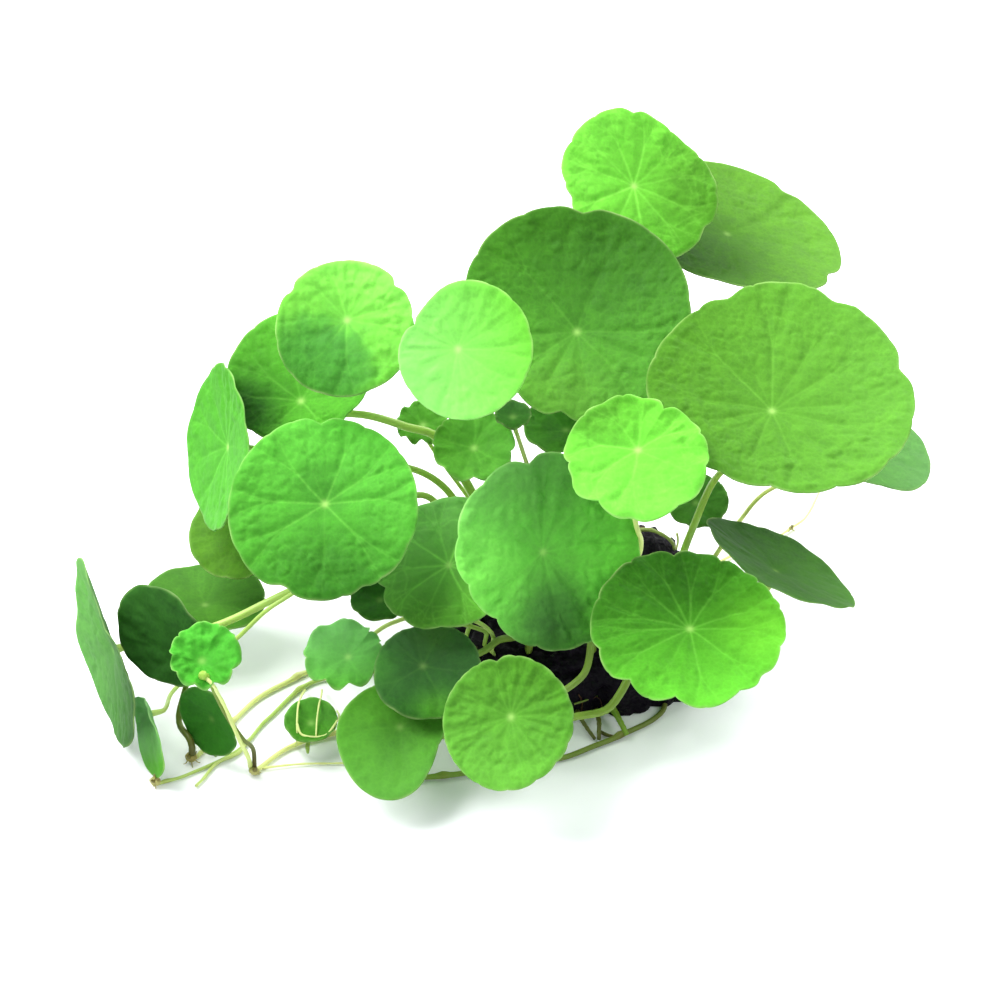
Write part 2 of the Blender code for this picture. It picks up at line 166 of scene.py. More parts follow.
soil_form = bmesh.new()
bmesh.ops.create_icosphere(soil_form, subdivisions=SOIL_FINENESS, radius=1.0)
for vert in soil_form.verts:
    radius_y = SOIL_RADIUS_FRONT if vert.co.y < 0.0 else SOIL_RADIUS_BACK
    across, along = abs(vert.co.x), abs(vert.co.y)
    square = (across**SOIL_SQUARENESS + along**SOIL_SQUARENESS) ** (1 / SOIL_SQUARENESS)
    if square > 0.0:
        vert.co.xy *= math.hypot(across, along) / square
    spot = Vector((vert.co.x * SOIL_RADIUS_X, vert.co.y * radius_y, vert.co.z * SOIL_HEIGHT))
    hump = SOIL_HUMP * math.exp(-(((spot.xy - SOIL_HUMP_PLACE).length / SOIL_HUMP_WIDTH) ** 2))
    swell = noise.noise(spot / SOIL_LUMP_SIZE) * SOIL_LUMP
    crumb = spot / CRUMB_SIZE
    swell += (CRUMB_LEVEL - noise.cell(crumb)) * CRUMB_HEIGHT * noise.noise(crumb)
    swell += noise.fractal(crumb, 1.0, 2.0, CRUMB_OCTAVES) * CRUMB_HEIGHT * CRUMB_ROUGHENING
    rise = math.copysign(abs(vert.co.z) ** SOIL_FLATNESS, vert.co.z)
    vert.co.x *= SOIL_RADIUS_X + swell
    vert.co.y *= radius_y + swell
    vert.co.z = rise * (SOIL_HEIGHT + swell + hump)
soil_cut = bmesh.ops.bisect_plane(
    soil_form,
    geom=soil_form.verts[:] + soil_form.edges[:] + soil_form.faces[:],
    clear_outer=True,
    plane_co=(0.0, 0.0, 0.0),
    plane_no=(0.0, 0.0, -1.0),
)
cut_edges = [part for part in soil_cut["geom_cut"] if isinstance(part, bmesh.types.BMEdge)]
bmesh.ops.edgenet_fill(soil_form, edges=cut_edges)
bmesh.ops.recalc_face_normals(soil_form, faces=soil_form.faces[:])
soil_form.verts.index_update()
soil_points = [vert.co.copy() for vert in soil_form.verts]
soil_faces = [[vert.index for vert in face.verts] for face in soil_form.faces]
soil_form.free()
add_piece("soil_plug", soil_points, soil_faces, [wet_peat], ["soil_clump"])


# Creeping stems
# Slender runners that trail over the ground from the soil, smooth and juicy, swollen at each joint.
# They root and leaf at those joints; they grew in place, and lie on whatever the clump stands on.
VIEW_ELEVATION = math.radians(38.0)
VIEW_DISTANCE = 0.583
PIXEL_SIZE = 0.00021
ORIGIN_PIXEL = (575, 660)
CENTRE_PIXEL = (500, 500)
RUNNER_RADIUS = 0.00055
RUNNER_MIDDLE = 0.0006
RUNNER_FINE_STEP = 0.0008
RUNNER_SIDES = 12
JOINT_SWELL = 0.45
JOINT_LENGTH = 0.0011
JOINT_SPACING = 0.019
JOINT_SCAR = 0.15
INTO_THE_SOIL = 0.005
AGE_FADE = 0.7
STREAK_SIZE = 0.0016
FIBRE_SIZE = 0.0003
FIBRE_HEIGHT = 0.00008
FIBRE_STRENGTH = 0.3
STEM_ROUGHNESS = 0.38
SAP_IOR = 1.42
STEM_GLOW = 0.25
STEM_GREEN = 0x98D040
STEM_YELLOW = 0xF0F5A6
STEM_OLIVE = 0x88B038
STEM_BROWN = 0x4E3420
JOINT_BROWN = 0x9A6430

# Pixel across and down, from inside the soil outwards; then how yellow and how brown the stem is,
# up to 1, and how much thinner it ends
RUNNERS = {
    "runner_left": (
        ((470, 668), (321, 679), (267, 719), (239, 749), (187, 774), (157, 783)),
        0.4, 0.0, 0.45,
    ),
    "runner_back_left": (
        ((470, 655), (314, 670), (289, 681), (258, 698), (232, 722), (196, 757)),
        0.95, 0.0, 0.15,
    ),
    "runner_middle": (
        ((500, 698), (390, 722), (333, 733), (289, 747), (254, 772)),
        1.0, 0.0, 0.15,
    ),
    "runner_front": (
        ((664, 694), (661, 713), (619, 736), (594, 746), (561, 758), (450, 775), (412, 778)),
        0.1, 0.75, 0.0,
    ),
}


def view_axes():
    """Right, up and towards the eye, for the photograph's view."""
    right = Vector((1.0, 0.0, 0.0))
    towards = Vector((0.0, -math.cos(VIEW_ELEVATION), math.sin(VIEW_ELEVATION)))
    return right, towards.cross(right), towards


def on_picture_plane(pixel):
    """The point of a pixel on the plane through the origin that faces the eye."""
    right, up, _ = view_axes()
    across = (pixel[0] - ORIGIN_PIXEL[0]) * PIXEL_SIZE
    rise = (ORIGIN_PIXEL[1] - pixel[1]) * PIXEL_SIZE
    return right * across + up * rise


EYE = on_picture_plane(CENTRE_PIXEL) + view_axes()[2] * VIEW_DISTANCE


def on_sight_line(pixel, height):
    """The point at a height that the photograph shows at a pixel."""
    sight = on_picture_plane(pixel) - EYE
    return EYE + sight * ((height - EYE.z) / sight.z)


def smooth_route(points, longest):
    """Points along a curve through the given ones, none further apart than the longest step."""
    ends = [points[0] * 2 - points[1]] + list(points) + [points[-1] * 2 - points[-2]]
    route = [points[0]]
    for before, start, end, after in zip(ends, ends[1:], ends[2:], ends[3:]):
        span = (end - start).length
        leave = (end - before).normalized() * span
        arrive = (after - start).normalized() * span
        steps = math.ceil(span / longest)
        for step in range(1, steps + 1):
            t = step / steps
            route.append(
                start * (2 * t**3 - 3 * t**2 + 1)
                + leave * (t**3 - 2 * t**2 + t)
                + end * (3 * t**2 - 2 * t**3)
                + arrive * (t**3 - t**2)
            )
    return route


def bell(distance, width):
    """One at no distance, falling softly to nothing beyond a width."""
    return np.exp(-((distance / width) ** 2))


def stem_mesh(route, radii, sides):
    """Points and faces of a round stem with closed ends, and each point's share of the way along."""
    side = (route[1] - route[0]).orthogonal().normalized()
    points, along = [], []
    for step, (centre, radius) in enumerate(zip(route, radii)):
        ahead = (route[min(step + 1, len(route) - 1)] - route[max(step - 1, 0)]).normalized()
        side = (side - ahead * side.dot(ahead)).normalized()
        other = ahead.cross(side)
        for turn in range(sides):
            angle = math.tau * turn / sides
            points.append(centre + (side * math.cos(angle) + other * math.sin(angle)) * radius)
            along.append(step / (len(route) - 1))
    faces = [tuple(range(sides))[::-1]]
    for first in range(0, (len(route) - 1) * sides, sides):
        for turn in range(sides):
            a, b = first + turn, first + (turn + 1) % sides
            faces.append((a, b, b + sides, a + sides))
    last = (len(route) - 1) * sides
    faces.append(tuple(range(last, last + sides)))
    return points, faces, along


def read_mark(tree, mark):
    """A mark that the mesh carries on its points."""
    return add_node(tree, "ShaderNodeAttribute", attribute_name=mark).outputs["Fac"]


def mixed(tree, share, first, second, blend="MIX"):
    """A colour with a share of another in it."""
    mix = add_node(tree, "ShaderNodeMix", {0: share, 6: first, 7: second}, data_type="RGBA", blend_type=blend)
    return mix.outputs[2]


def living_skin(tree, output, colour, glow_share, sockets):
    """A skin with living tissue behind it: part of the light passes through and takes the skin's colour."""
    skin = add_node(tree, "ShaderNodeBsdfPrincipled", {"Base Color": colour, **sockets})
    glow = add_node(tree, "ShaderNodeBsdfTranslucent", {"Color": colour})
    both = add_node(tree, "ShaderNodeMixShader", {0: glow_share, 1: skin.outputs[0], 2: glow.outputs[0]})
    tree.links.new(both.outputs["Shader"], output.inputs["Surface"])


# Living stem: juicy green skin with a waxy gloss, yellow where it was shaded, brown where it has aged
living_stem, tree, output, place = new_material("living_stem")
colour = mixed(tree, grain(tree, place, STREAK_SIZE, 3.0), to_linear(STEM_OLIVE), to_linear(STEM_GREEN))
for mark, tint in (("yellow", STEM_YELLOW), ("brown", STEM_BROWN), ("scar", JOINT_BROWN)):
    colour = mixed(tree, read_mark(tree, mark), colour, to_linear(tint))
fibre_relief = relief_normal(tree, grain(tree, place, FIBRE_SIZE, 2.0), FIBRE_STRENGTH, FIBRE_HEIGHT)
stem_finish = {"Roughness": STEM_ROUGHNESS, "IOR": SAP_IOR, "Normal": fibre_relief}
living_skin(tree, output, colour, STEM_GLOW, stem_finish)

soil_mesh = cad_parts["soil_clump"].data
soil_solid = BVHTree.FromPolygons(
    [vertex.co for vertex in soil_mesh.vertices],
    [polygon.vertices for polygon in soil_mesh.polygons],
)

for runner, (pixels, yellow, brown, taper) in RUNNERS.items():
    inside, *places = [on_sight_line(pixel, RUNNER_MIDDLE) for pixel in pixels]
    outwards = (places[0] - inside).normalized()
    start, _, _, _ = soil_solid.ray_cast(places[0], -outwards)
    route = smooth_route([start - outwards * INTO_THE_SOIL] + places, RUNNER_FINE_STEP)
    walked = np.cumsum([0.0] + [(b - a).length for a, b in zip(route, route[1:])])
    from_joint = np.abs((walked + JOINT_SPACING / 2) % JOINT_SPACING - JOINT_SPACING / 2)
    joint = bell(from_joint, JOINT_LENGTH) * (walked > JOINT_SPACING / 2)
    radii = RUNNER_RADIUS * (1.0 + JOINT_SWELL * joint) * (1.0 - taper * walked / walked[-1])
    route = [spot + Vector((0.0, 0.0, radius - RUNNER_RADIUS)) for spot, radius in zip(route, radii)]
    points, faces, along = stem_mesh(route, radii, RUNNER_SIDES)
    colour_marks = {
        "yellow": np.full(len(points), yellow),
        "brown": np.full(len(points), brown) * (1.0 - np.array(along) * AGE_FADE),
        "scar": np.repeat(joint, RUNNER_SIDES) * JOINT_SCAR,
    }
    name = runner.replace("runner", "creeping_stem")
    add_piece(name, points, faces, [living_stem], [runner], colour_marks)


# Leaf stalks
# Each leaf's long bare stalk, round and slender, up from the soil or a runner to the middle of its blade.
# It leans and arches to find light between its neighbours, and grew in one piece with the blade above.
BLADE_THICKNESS = 0.0006
THIN_BLADE = 0.0003
CLEARANCE = 0.0003
STALK_TIP_RADIUS = 0.00055
STALK_FOOT_RADIUS = 0.00085
YOUNG_STALK_RADIUS = 0.00045
STALK_NECK = 0.12
STALK_RISE = 0.16
STALK_FLARE = 0.55
STALK_FLARE_STEPS = 2.0
ROOTED_TIP_SHARE = 0.5
FOOT_YELLOW_SHARE = 0.6
TIP_YELLOW = 0.12
STALK_BROWN_FADE = 0.75
STALK_FINE_STEP = 0.0014
STALK_SIDES = 12
FOOT_GAP = 0.0011
STALK_ROOTED = 0.003
ABOVE_THE_SOIL = 0.05

# hub: where the stalk meets the blade in the picture; height: of the hub; across: the widest span
# roundness: seen height over seen width; lean: picture direction that the face turns to, in degrees
# shift: the outline's middle from the hub, in half widths; foot: where the stalk stands, x and y
Leaf = namedtuple("Leaf", "number hub height across roundness lean shift foot")

LEAVES = (
    Leaf(1, (634, 186), 0.088, 0.0335, 0.88, 48, (0.04, -0.01), (0.001, 0.017)),
    Leaf(2, (727, 234), 0.070, 0.0465, 0.53, 67, (0.02, 0.00), (0.008, 0.015)),
    Leaf(3, (577, 332), 0.074, 0.0452, 0.94, 100, (0.00, 0.13), (-0.003, 0.010)),
    Leaf(4, (772, 411), 0.073, 0.0508, 0.79, 78, (0.06, 0.15), (0.021, 0.003)),
    Leaf(5, (868, 452), 0.044, 0.0265, 0.55, 60, (0.00, 0.00), (0.0225, 0.0065)),
    Leaf(6, (638, 450), 0.074, 0.0268, 0.85, 85, (-0.03, -0.20), (0.009, -0.004)),
    Leaf(7, (458, 349), 0.083, 0.0267, 0.95, 170, (0.14, -0.02), (-0.009, 0.005)),
    Leaf(8, (347, 320), 0.080, 0.0275, 0.95, 130, (-0.01, -0.15), (-0.011, 0.013)),
    Leaf(9, (301, 401), 0.056, 0.0305, 0.85, 115, (-0.02, 0.32), (-0.017, 0.010)),
    Leaf(10, (228, 447), 0.049, 0.0340, 0.33, 178, (-0.04, 0.00), (-0.020, 0.004)),
    Leaf(11, (325, 504), 0.052, 0.0372, 0.95, 110, (-0.01, -0.08), (-0.015, -0.003)),
    Leaf(12, (247, 529), 0.026, 0.0245, 0.80, 130, (0.00, 0.00), (-0.022, 0.009)),
    Leaf(13, (205, 605), 0.011, 0.0252, 0.60, 92, (0.00, 0.00), (-0.0752, -0.0262)),
    Leaf(14, (184, 656), 0.026, 0.0222, 0.70, 205, (-0.48, 0.26), (-0.0776, -0.0310)),
    Leaf(17, (113, 650), 0.020, 0.0398, 0.20, 196, (0.00, 0.04), (-0.023, 0.000)),
    Leaf(21, (423, 666), 0.022, 0.0214, 0.88, 100, (0.10, -0.20), (-0.0099, -0.0125)),
    Leaf(22, (400, 727), 0.014, 0.0238, 0.92, 110, (-0.12, -0.26), (0.0145, -0.0145)),
    Leaf(23, (511, 717), 0.024, 0.0262, 0.95, 170, (0.00, -0.10), (0.003, -0.013)),
    Leaf(24, (690, 629), 0.040, 0.0376, 0.79, 84, (-0.01, -0.06), (0.014, -0.011)),
    Leaf(25, (543, 552), 0.047, 0.0389, 0.94, 345, (0.03, 0.00), (-0.004, -0.007)),
    Leaf(26, (449, 565), 0.036, 0.0290, 0.88, 120, (0.00, -0.02), (-0.009, -0.009)),
    Leaf(33, (776, 571), 0.025, 0.0346, 0.28, 60, (0.00, 0.00), (0.022, -0.005)),
)

# Places where a stalk shows between the leaves: pixel across, pixel down, height
STALK_BENDS = {
    2: ((756, 303, 0.062), (672, 420, 0.042), (618, 510, 0.026)),
    4: ((716, 478, 0.046), (692, 530, 0.031)),
    5: ((773, 488, 0.034), (734, 528, 0.022), (706, 566, 0.016)),
    6: ((634, 512, 0.0534), (637, 528, 0.0495), (641, 541, 0.0446), (638, 556, 0.0381)),
    7: ((494, 423, 0.056),),
    8: ((385, 343, 0.071), (425, 372, 0.063), (462, 410, 0.052), (486, 455, 0.040)),
    9: ((365, 415, 0.052), (407, 427, 0.049), (437, 438, 0.046)),
    10: ((409, 468, 0.042), (451, 495, 0.036)),
    11: ((418, 495, 0.040), (435, 502, 0.037)),
    14: ((183, 697, 0.011), (179, 722, 0.006)),
    15: ((224, 711, 0.019), (242, 738, 0.013)),
    17: ((150, 644, 0.014), (221, 624, 0.019), (289, 592, 0.025), (350, 568, 0.027)),
    18: ((174, 690, 0.009), (200, 668, 0.011), (235, 640, 0.017), (276, 604, 0.026), (340, 576, 0.029)),
    19: ((372, 636, 0.021), (392, 623, 0.022), (432, 613, 0.0215), (468, 618, 0.0215)),
    21: ((484, 651, 0.0175), (499, 640, 0.0175), (515, 637, 0.0165)),
    22: ((455, 735, 0.008), (579, 716, 0.012), (611, 706, 0.013)),
    23: ((568, 688, 0.019), (586, 670, 0.019)),
    29: ((431, 446, 0.037),),
    30: ((519, 440, 0.058),),
}

# How much thicker or thinner than usual some stalks are
STALK_GIRTHS = {5: 0.7, 6: 0.75, 9: 1.3, 14: 0.85, 17: 1.2, 22: 1.1}

# How yellow and how brown a stalk is at its foot, where the photograph shows it
STALK_TINTS = {
    1: (0.3, 0.0), 2: (0.3, 0.0), 4: (0.05, 0.15), 5: (1.0, 0.0), 6: (0.8, 0.0), 9: (0.1, 0.12),
    10: (0.1, 0.15), 11: (0.1, 0.15), 14: (0.0, 0.9), 15: (0.0, 0.95), 17: (0.25, 0.0), 18: (0.3, 0.0),
    19: (0.6, 0.0), 21: (0.0, 0.55), 22: (0.0, 0.5), 23: (0.0, 0.55), 30: (0.5, 0.4),
}
USUAL_TINT = (0.25, 0.1)


def blade_axes(leaf, hub):
    """Along the blade to the picture's right, along it upwards, and out of its face."""
    towards = (EYE - hub).normalized()
    right = Vector((1.0, 0.0, 0.0))
    right = (right - towards * right.dot(towards)).normalized()
    up = towards.cross(right)
    lean = math.radians(leaf.lean)
    slant = math.sqrt(1.0 - leaf.roundness**2)
    facing = towards * leaf.roundness + (right * math.cos(lean) + up * math.sin(lean)) * slant
    along = (right - facing * right.dot(facing)).normalized()
    return along, facing.cross(along), facing


def stalk_feet(leaf):
    """Where the solid stalk ends, and where the real one goes on to, inside the soil or the runner."""
    x, y = leaf.foot
    spot, normal, _, _ = soil_solid.ray_cast(Vector((x, y, ABOVE_THE_SOIL)), Vector((0.0, 0.0, -1.0)))
    if spot:
        return spot + normal * FOOT_GAP, spot - normal * STALK_ROOTED
    return Vector((x, y, 2 * RUNNER_RADIUS + 2 * CLEARANCE)), Vector((x, y, RUNNER_MIDDLE))


def stalk_route(leaf, hub, facing):
    """From its rooted end up to the blade, by the same bends as the solid stalk."""
    foot, rooted = stalk_feet(leaf)
    top = hub - facing * (BLADE_THICKNESS + CLEARANCE)
    bends = [on_sight_line(bend[:2], bend[2]) for bend in STALK_BENDS.get(leaf.number, ())]
    neck = top - facing * leaf.across * STALK_NECK
    rise = foot + Vector((0.0, 0.0, (top - foot).length * STALK_RISE))
    route = smooth_route([top, neck] + bends + [rise, foot], STALK_FINE_STEP)
    return ([hub - facing * THIN_BLADE / 2] + route + [rooted])[::-1]


def stalk_mesh(leaf, hub, facing, foot_radius, tip_radius):
    """A stalk that tapers upwards and flares where it joins the blade, with its colour marks."""
    route = stalk_route(leaf, hub, facing)
    share = np.linspace(0.0, 1.0, len(route))
    flare = bell((1.0 - share) * len(route), STALK_FLARE_STEPS)
    radii = foot_radius + (tip_radius - foot_radius) * share + tip_radius * STALK_FLARE * flare
    radii *= STALK_GIRTHS.get(leaf.number, 1.0)
    radii[0] = RUNNER_RADIUS * ROOTED_TIP_SHARE
    points, faces, along = stem_mesh(route, radii, STALK_SIDES)
    yellow, brown = STALK_TINTS.get(leaf.number, USUAL_TINT)
    along = np.array(along)
    colour_marks = {
        "yellow": yellow * (FOOT_YELLOW_SHARE + (1.0 - FOOT_YELLOW_SHARE) * along) + TIP_YELLOW * along,
        "brown": brown * (1.0 - STALK_BROWN_FADE * along),
        "scar": np.zeros(len(points)),
    }
    return points, faces, colour_marks


for leaf in LEAVES:
    hub = on_sight_line(leaf.hub, leaf.height)
    facing = blade_axes(leaf, hub)[2]
    points, faces, colour_marks = stalk_mesh(leaf, hub, facing, STALK_FOOT_RADIUS, STALK_TIP_RADIUS)
    name = f"stalk_{leaf.number:02d}"
    add_piece(f"leaf_{name}", points, faces, [living_stem], [name], colour_marks)


# Leaf blades
# Round blades held by the middle, thin and tender, with a scalloped pale rim and veins that fork like a fan.
# Young ones are yellow green and old ones deep green, with painted light and shade laid over that green; the
# skin puffs up between the veins and shines softly.

# Form of a blade, and how finely it is meshed
CUP = 0.045
WAVE = 0.018
WAVES_ROUND = 3
WAVE_TURN = 2.4
HUB_DIMPLE = 0.0006
DIMPLE_WIDTH = 0.0028
THICK_MIDDLE = 0.00035
THIN_EDGE = 0.00018
EDGE_POWER = 8
RIPPLE_HEIGHT = 0.0004
BLADE_GRID = 0.00034
SIDES_STEP = 16
FEWEST_RINGS = 8

# Rim: its notches, swellings, lobes and teeth
USUAL_NOTCHES = (40,)
NOTCH_DEPTH = 0.055
NOTCH_WIDTH = math.radians(6.0)
BULGE_WIDTH = math.radians(35.0)
SCALLOP_DEPTH = 0.034
SCALLOP_VARIETY = 0.4
TOOTH_SHARE = 0.25
LOBE_ROUNDING = 0.02
LOBE_LEVEL = 0.8
LOBE_WANDER = 0.32
LOBE_SEED = 100
RIM_SAMPLES = 721

# Veins: their widths, how they wander and fork, and how strongly they show
MAIN_VEIN = 0.00024
FORK_VEIN = 0.00019
NET_VEIN = 0.00017
VEIN_SHYNESS = 1.5
VEIN_WANDER = 0.10
VEIN_DRIFT = 0.09
VEIN_ROOM = 0.6
VEIN_FADE = 0.5
MAIN_LEAST = 0.3
BESIDE_STRONG = 0.4
FORK_SPAN = (0.40, 0.66)
FORK_SPREAD = (0.18, 0.30)
FORK_BEND = 0.8
FORK_STRENGTH = (0.25, 0.5)
TWIG_SPREAD = (0.07, 0.12)
TWIG_STRENGTH = 0.5
SPUR_LENGTH = 0.12
SPUR_STRENGTH = 0.4
BRIDGE_WANDER = 0.04
BRIDGE_STRENGTH = 0.35
VEINS_END = 0.97
TWIGS_END = 0.96
SPURS_END = 0.9

# Skin: how it puffs up beside veins, in broad quilts and in small cells
PUFF_WIDTH = 0.0011
PUFF_HEIGHT = 0.0005
PUFFED_BESIDE = 0.3
QUILT_SIZE = 0.003
QUILT_SHOULDER = 0.0006
QUILT_HEIGHT = 0.0005
QUILT_WAVES = (700, 600)
QUILT_LEAST = 0.75
CELL_SIZE = 0.0015
CELL_SHOULDER = 0.0003
CELL_HEIGHT = 0.00028
CELL_VEIN = 0.00022
CELL_LINE = 0.05
# Painted light: fuller skin cells are painted lighter, as if lit on the tops of their puffs
PUFF_TOP_PAINTED_LIGHT = 0.025
CELL_USUAL = 0.6
CELL_LEAST = 0.3
CELL_PLACE_SPAN = (0.1, 0.9)
CELL_FULLNESS_SPAN = (0.2, 1.0)
RIM_CALM = (10.0, 0.3)
LOWER_RELIEF = 0.5

# Marks that the material reads: the pale rim and hub, and the ragged edges of patches
RIM_LINE = 0.00026
RIM_WAVES = (5.0, 11.0)
RIM_LEAST = 0.6
PALE_LEAST = 0.4
HUB_SPOT = 0.0007
HUB_LEAST = 0.2
HUB_PER_VEIN = 2.5
PATCH_SHARPNESS = 1.5
RAG_ROUND = 0.05
RAGS_ROUND = 9.0
RAG_OUTWARDS = 0.04
RAGS_OUTWARDS = 1500

# Material: mottling, the finest net of veins, pores, finish and colour casts
MOTTLE_SIZE = 0.0035
MOTTLE_TONE = 0.16
MOTTLE_SPAN = (0.3, 0.7)
NET_SIZE = 0.0011
NET_LINE = (0.02, 0.2)
NET_HEIGHT = 0.0001
NET_STRENGTH = 0.25
NET_TONE = 0.03
PORE_SIZE = 0.00028
PORE_HEIGHT = 0.00005
PORE_STRENGTH = 0.18
VEIN_TONE = 0.16
LEAF_ROUGHNESS = (0.55, 0.68)
LEAF_SHEEN = 0.06
LEAF_GLOW = 0.32
COOL_CAST = (0.60, 1.0, 1.0, 1.0)
WARM_CAST = (1.32, 0.98, 0.75, 1.0)

# The greens of a blade, from the deepest to the most yellow
LEAF_TONES = (
    (0.00, 0x16340B), (0.20, 0x265612), (0.40, 0x407C1E),
    (0.60, 0x5AA42C), (0.80, 0x74CC3C), (1.00, 0x92EC50),
)

# What else colours a blade: how strongly it shows, and its colour; the pale bloom is partly painted sheen
LEAF_TINTS = {
    "vein": (0.22, 0xA6EE70), "rim": (0.55, 0xD2F59A), "hub": (0.8, 0xC4F284),
    "bloom_and_sheen": (1.0, 0xB8E8BC), "under": (0.3, 0x8CB878),
}

# Directions of the notches in the rim, in degrees round the blade
RIM_NOTCHES = {
    1: (95, 200, 330), 2: (56, 340), 3: (87, 261), 4: (24, 66, 110), 6: (59, 211, 265), 7: (150,),
    8: (30, 150), 11: (92, 293, 245), 15: (60, 180, 300), 19: (45, 225), 22: (50,), 23: (102,),
    24: (102, 320), 25: (103, 330), 26: (200,), 33: (110,),
}

# Directions in which the rim swells or falls short, in degrees, and by how much, in half widths
RIM_BULGES = {
    1: ((52, -0.16), (225, -0.05)),
    2: ((8, 0.06), (55, -0.09), (270, -0.06)),
    3: ((130, 0.06), (208, -0.16)),
    4: ((180, 0.03), (268, -0.08), (315, 0.04), (128, -0.05)),
    7: ((135, -0.12),),
    14: ((228, -0.26),),
    17: ((55, -0.25), (98, -0.25), (145, 0.05), (192, -0.27)),
    22: ((215, -0.13), (262, 0.10), (318, -0.22)),
    23: ((310, -0.05),),
    24: ((320, -0.05), (35, -0.06)),
    25: ((227, -0.12), (8, -0.05)),
}

# Directions of the strong veins that stand out on some blades, in degrees
STRONG_VEINS = {
    4: (90, 135),
    11: (135, 178, 215, 310, 0, 30, 65),
    24: (88, 62, 20, -4, -45, -82, 218, 190, 170, 140, 115),
}

# tone: 0 deep to 1 yellow green, set for each blade to how bright it looked where it lies, so partly painted
# light and shade; warmth: 0 bluish to 1 olive; turn and change: the direction, in degrees round the blade, in
# which the tone rises, and by how much, a slope that is partly painted light and shade; scallops: round the
# rim;
# lobing: their depth
# crinkle: of the skin; veins: how far they stand out; shade: the name of its green
Look = namedtuple("Look", "tone warmth turn change scallops lobing crinkle veins shade")

BLADE_LOOKS = {
    1: Look(0.73, 0.50, 150, 0.08, 11, 0.8, 0.8, 1.3, "fresh"),
    2: Look(0.43, 0.95, 20, 0.12, 9, 0.3, 0.5, 0.1, "mid"),
    3: Look(0.48, 0.50, 275, 0.10, 12, 0.5, 0.9, 0.3, "deep"),
    4: Look(0.49, 0.75, 0, 0.08, 13, 0.6, 0.9, 0.4, "mid"),
    5: Look(0.46, 0.60, 0, 0.00, 9, 0.4, 0.4, 0.1, "mid"),
    6: Look(0.79, 0.40, 270, 0.04, 8, 2.0, 0.8, 0.9, "yellow"),
    7: Look(0.83, 0.45, 200, 0.05, 15, 0.3, 0.55, 0.5, "fresh"),
    8: Look(0.77, 0.55, 55, 0.10, 11, 0.5, 1.0, 0.6, "yellow"),
    9: Look(0.54, 0.35, 30, 0.16, 10, 0.7, 0.8, 0.5, "mid"),
    10: Look(0.60, 0.25, 270, 0.05, 11, 0.5, 0.6, 0.6, "fresh"),
    11: Look(0.60, 0.20, 80, 0.15, 12, 0.6, 1.1, 0.6, "fresh"),
    12: Look(0.44, 1.00, 90, 0.04, 9, 0.5, 0.5, 0.1, "mid"),
    13: Look(0.36, 0.70, 90, 0.04, 9, 0.5, 0.4, 0.1, "mid"),
    14: Look(0.15, 0.30, 120, 0.08, 9, 0.9, 0.6, 0.05, "dark"),
    15: Look(0.60, 0.00, 90, 0.05, 9, 2.4, 1.5, 0.15, "fresh"),
    16: Look(0.38, 0.15, 120, 0.06, 8, 0.5, 0.4, 0.05, "dark"),
    17: Look(0.38, 0.50, 195, 0.22, 10, 0.5, 0.5, 0.05, "grey"),
    18: Look(0.62, 0.40, 145, 0.06, 8, 0.3, 0.4, 0.05, "grey"),
    19: Look(0.64, 0.30, 90, 0.04, 8, 2.6, 0.6, 0.25, "grey"),
    20: Look(0.48, 0.45, 90, 0.04, 8, 0.5, 0.5, 0.2, "deep"),
    21: Look(0.25, 0.25, 90, 0.05, 9, 0.6, 0.7, 0.25, "dark"),
    22: Look(0.53, 0.50, 270, 0.00, 9, 0.3, 0.5, 0.1, "mid"),
    23: Look(0.53, 0.60, 250, 0.10, 17, 0.5, 1.1, 0.35, "mid"),
    24: Look(0.53, 0.35, 310, 0.24, 11, 1.6, 0.9, 0.5, "fresh"),
    25: Look(0.45, 0.40, 150, 0.08, 12, 1.0, 1.3, 0.3, "deep"),
    26: Look(0.53, 0.60, 90, 0.06, 10, 1.2, 0.8, 1.6, "deep"),
    27: Look(0.24, 0.35, 90, 0.00, 8, 0.8, 0.5, 0.1, "dark"),
    28: Look(0.58, 0.50, 0, 0.10, 9, 2.0, 0.8, 0.4, "deep"),
    29: Look(0.50, 0.55, 90, 0.05, 8, 2.2, 0.7, 0.4, "mid"),
    30: Look(0.26, 0.40, 90, 0.00, 7, 0.7, 0.4, 0.1, "dark"),
    31: Look(0.42, 0.45, 90, 0.05, 9, 0.7, 0.5, 0.2, "dark"),
    32: Look(0.34, 0.55, 90, 0.05, 9, 0.7, 0.6, 0.15, "deep"),
    33: Look(0.28, 0.70, 330, 0.14, 10, 0.4, 0.25, 0.1, "dark"),
}

# How much pale grey bloom lies on a blade, partly the wax's own grey and partly painted sheen of light on the
# wax; it thickens the way that the tone rises
BLOOM_AND_PAINTED_SHEEN = {
    5: 0.10, 7: 0.15, 8: 0.07, 9: 0.01, 14: 0.015, 15: 0.01, 17: 0.08, 18: 0.34, 19: 0.16,
    21: 0.08, 24: 0.0, 25: 0.07, 26: 0.10, 28: 0.04,
}
USUAL_BLOOM_AND_SHEEN = 0.025
BLOOM_AND_SHEEN_DRIFT = 0.8

# Patches of painted shade and painted light on a blade: darker where a neighbouring leaf shadows it or where
# it curls away from the light, lighter where more light reaches it; across and up from its hub, and radius,
# in half widths; then the change in tone and in warmth, and how sharp the edge is
LightAndShadePatch = namedtuple("LightAndShadePatch", "across up radius tone warmth edge")

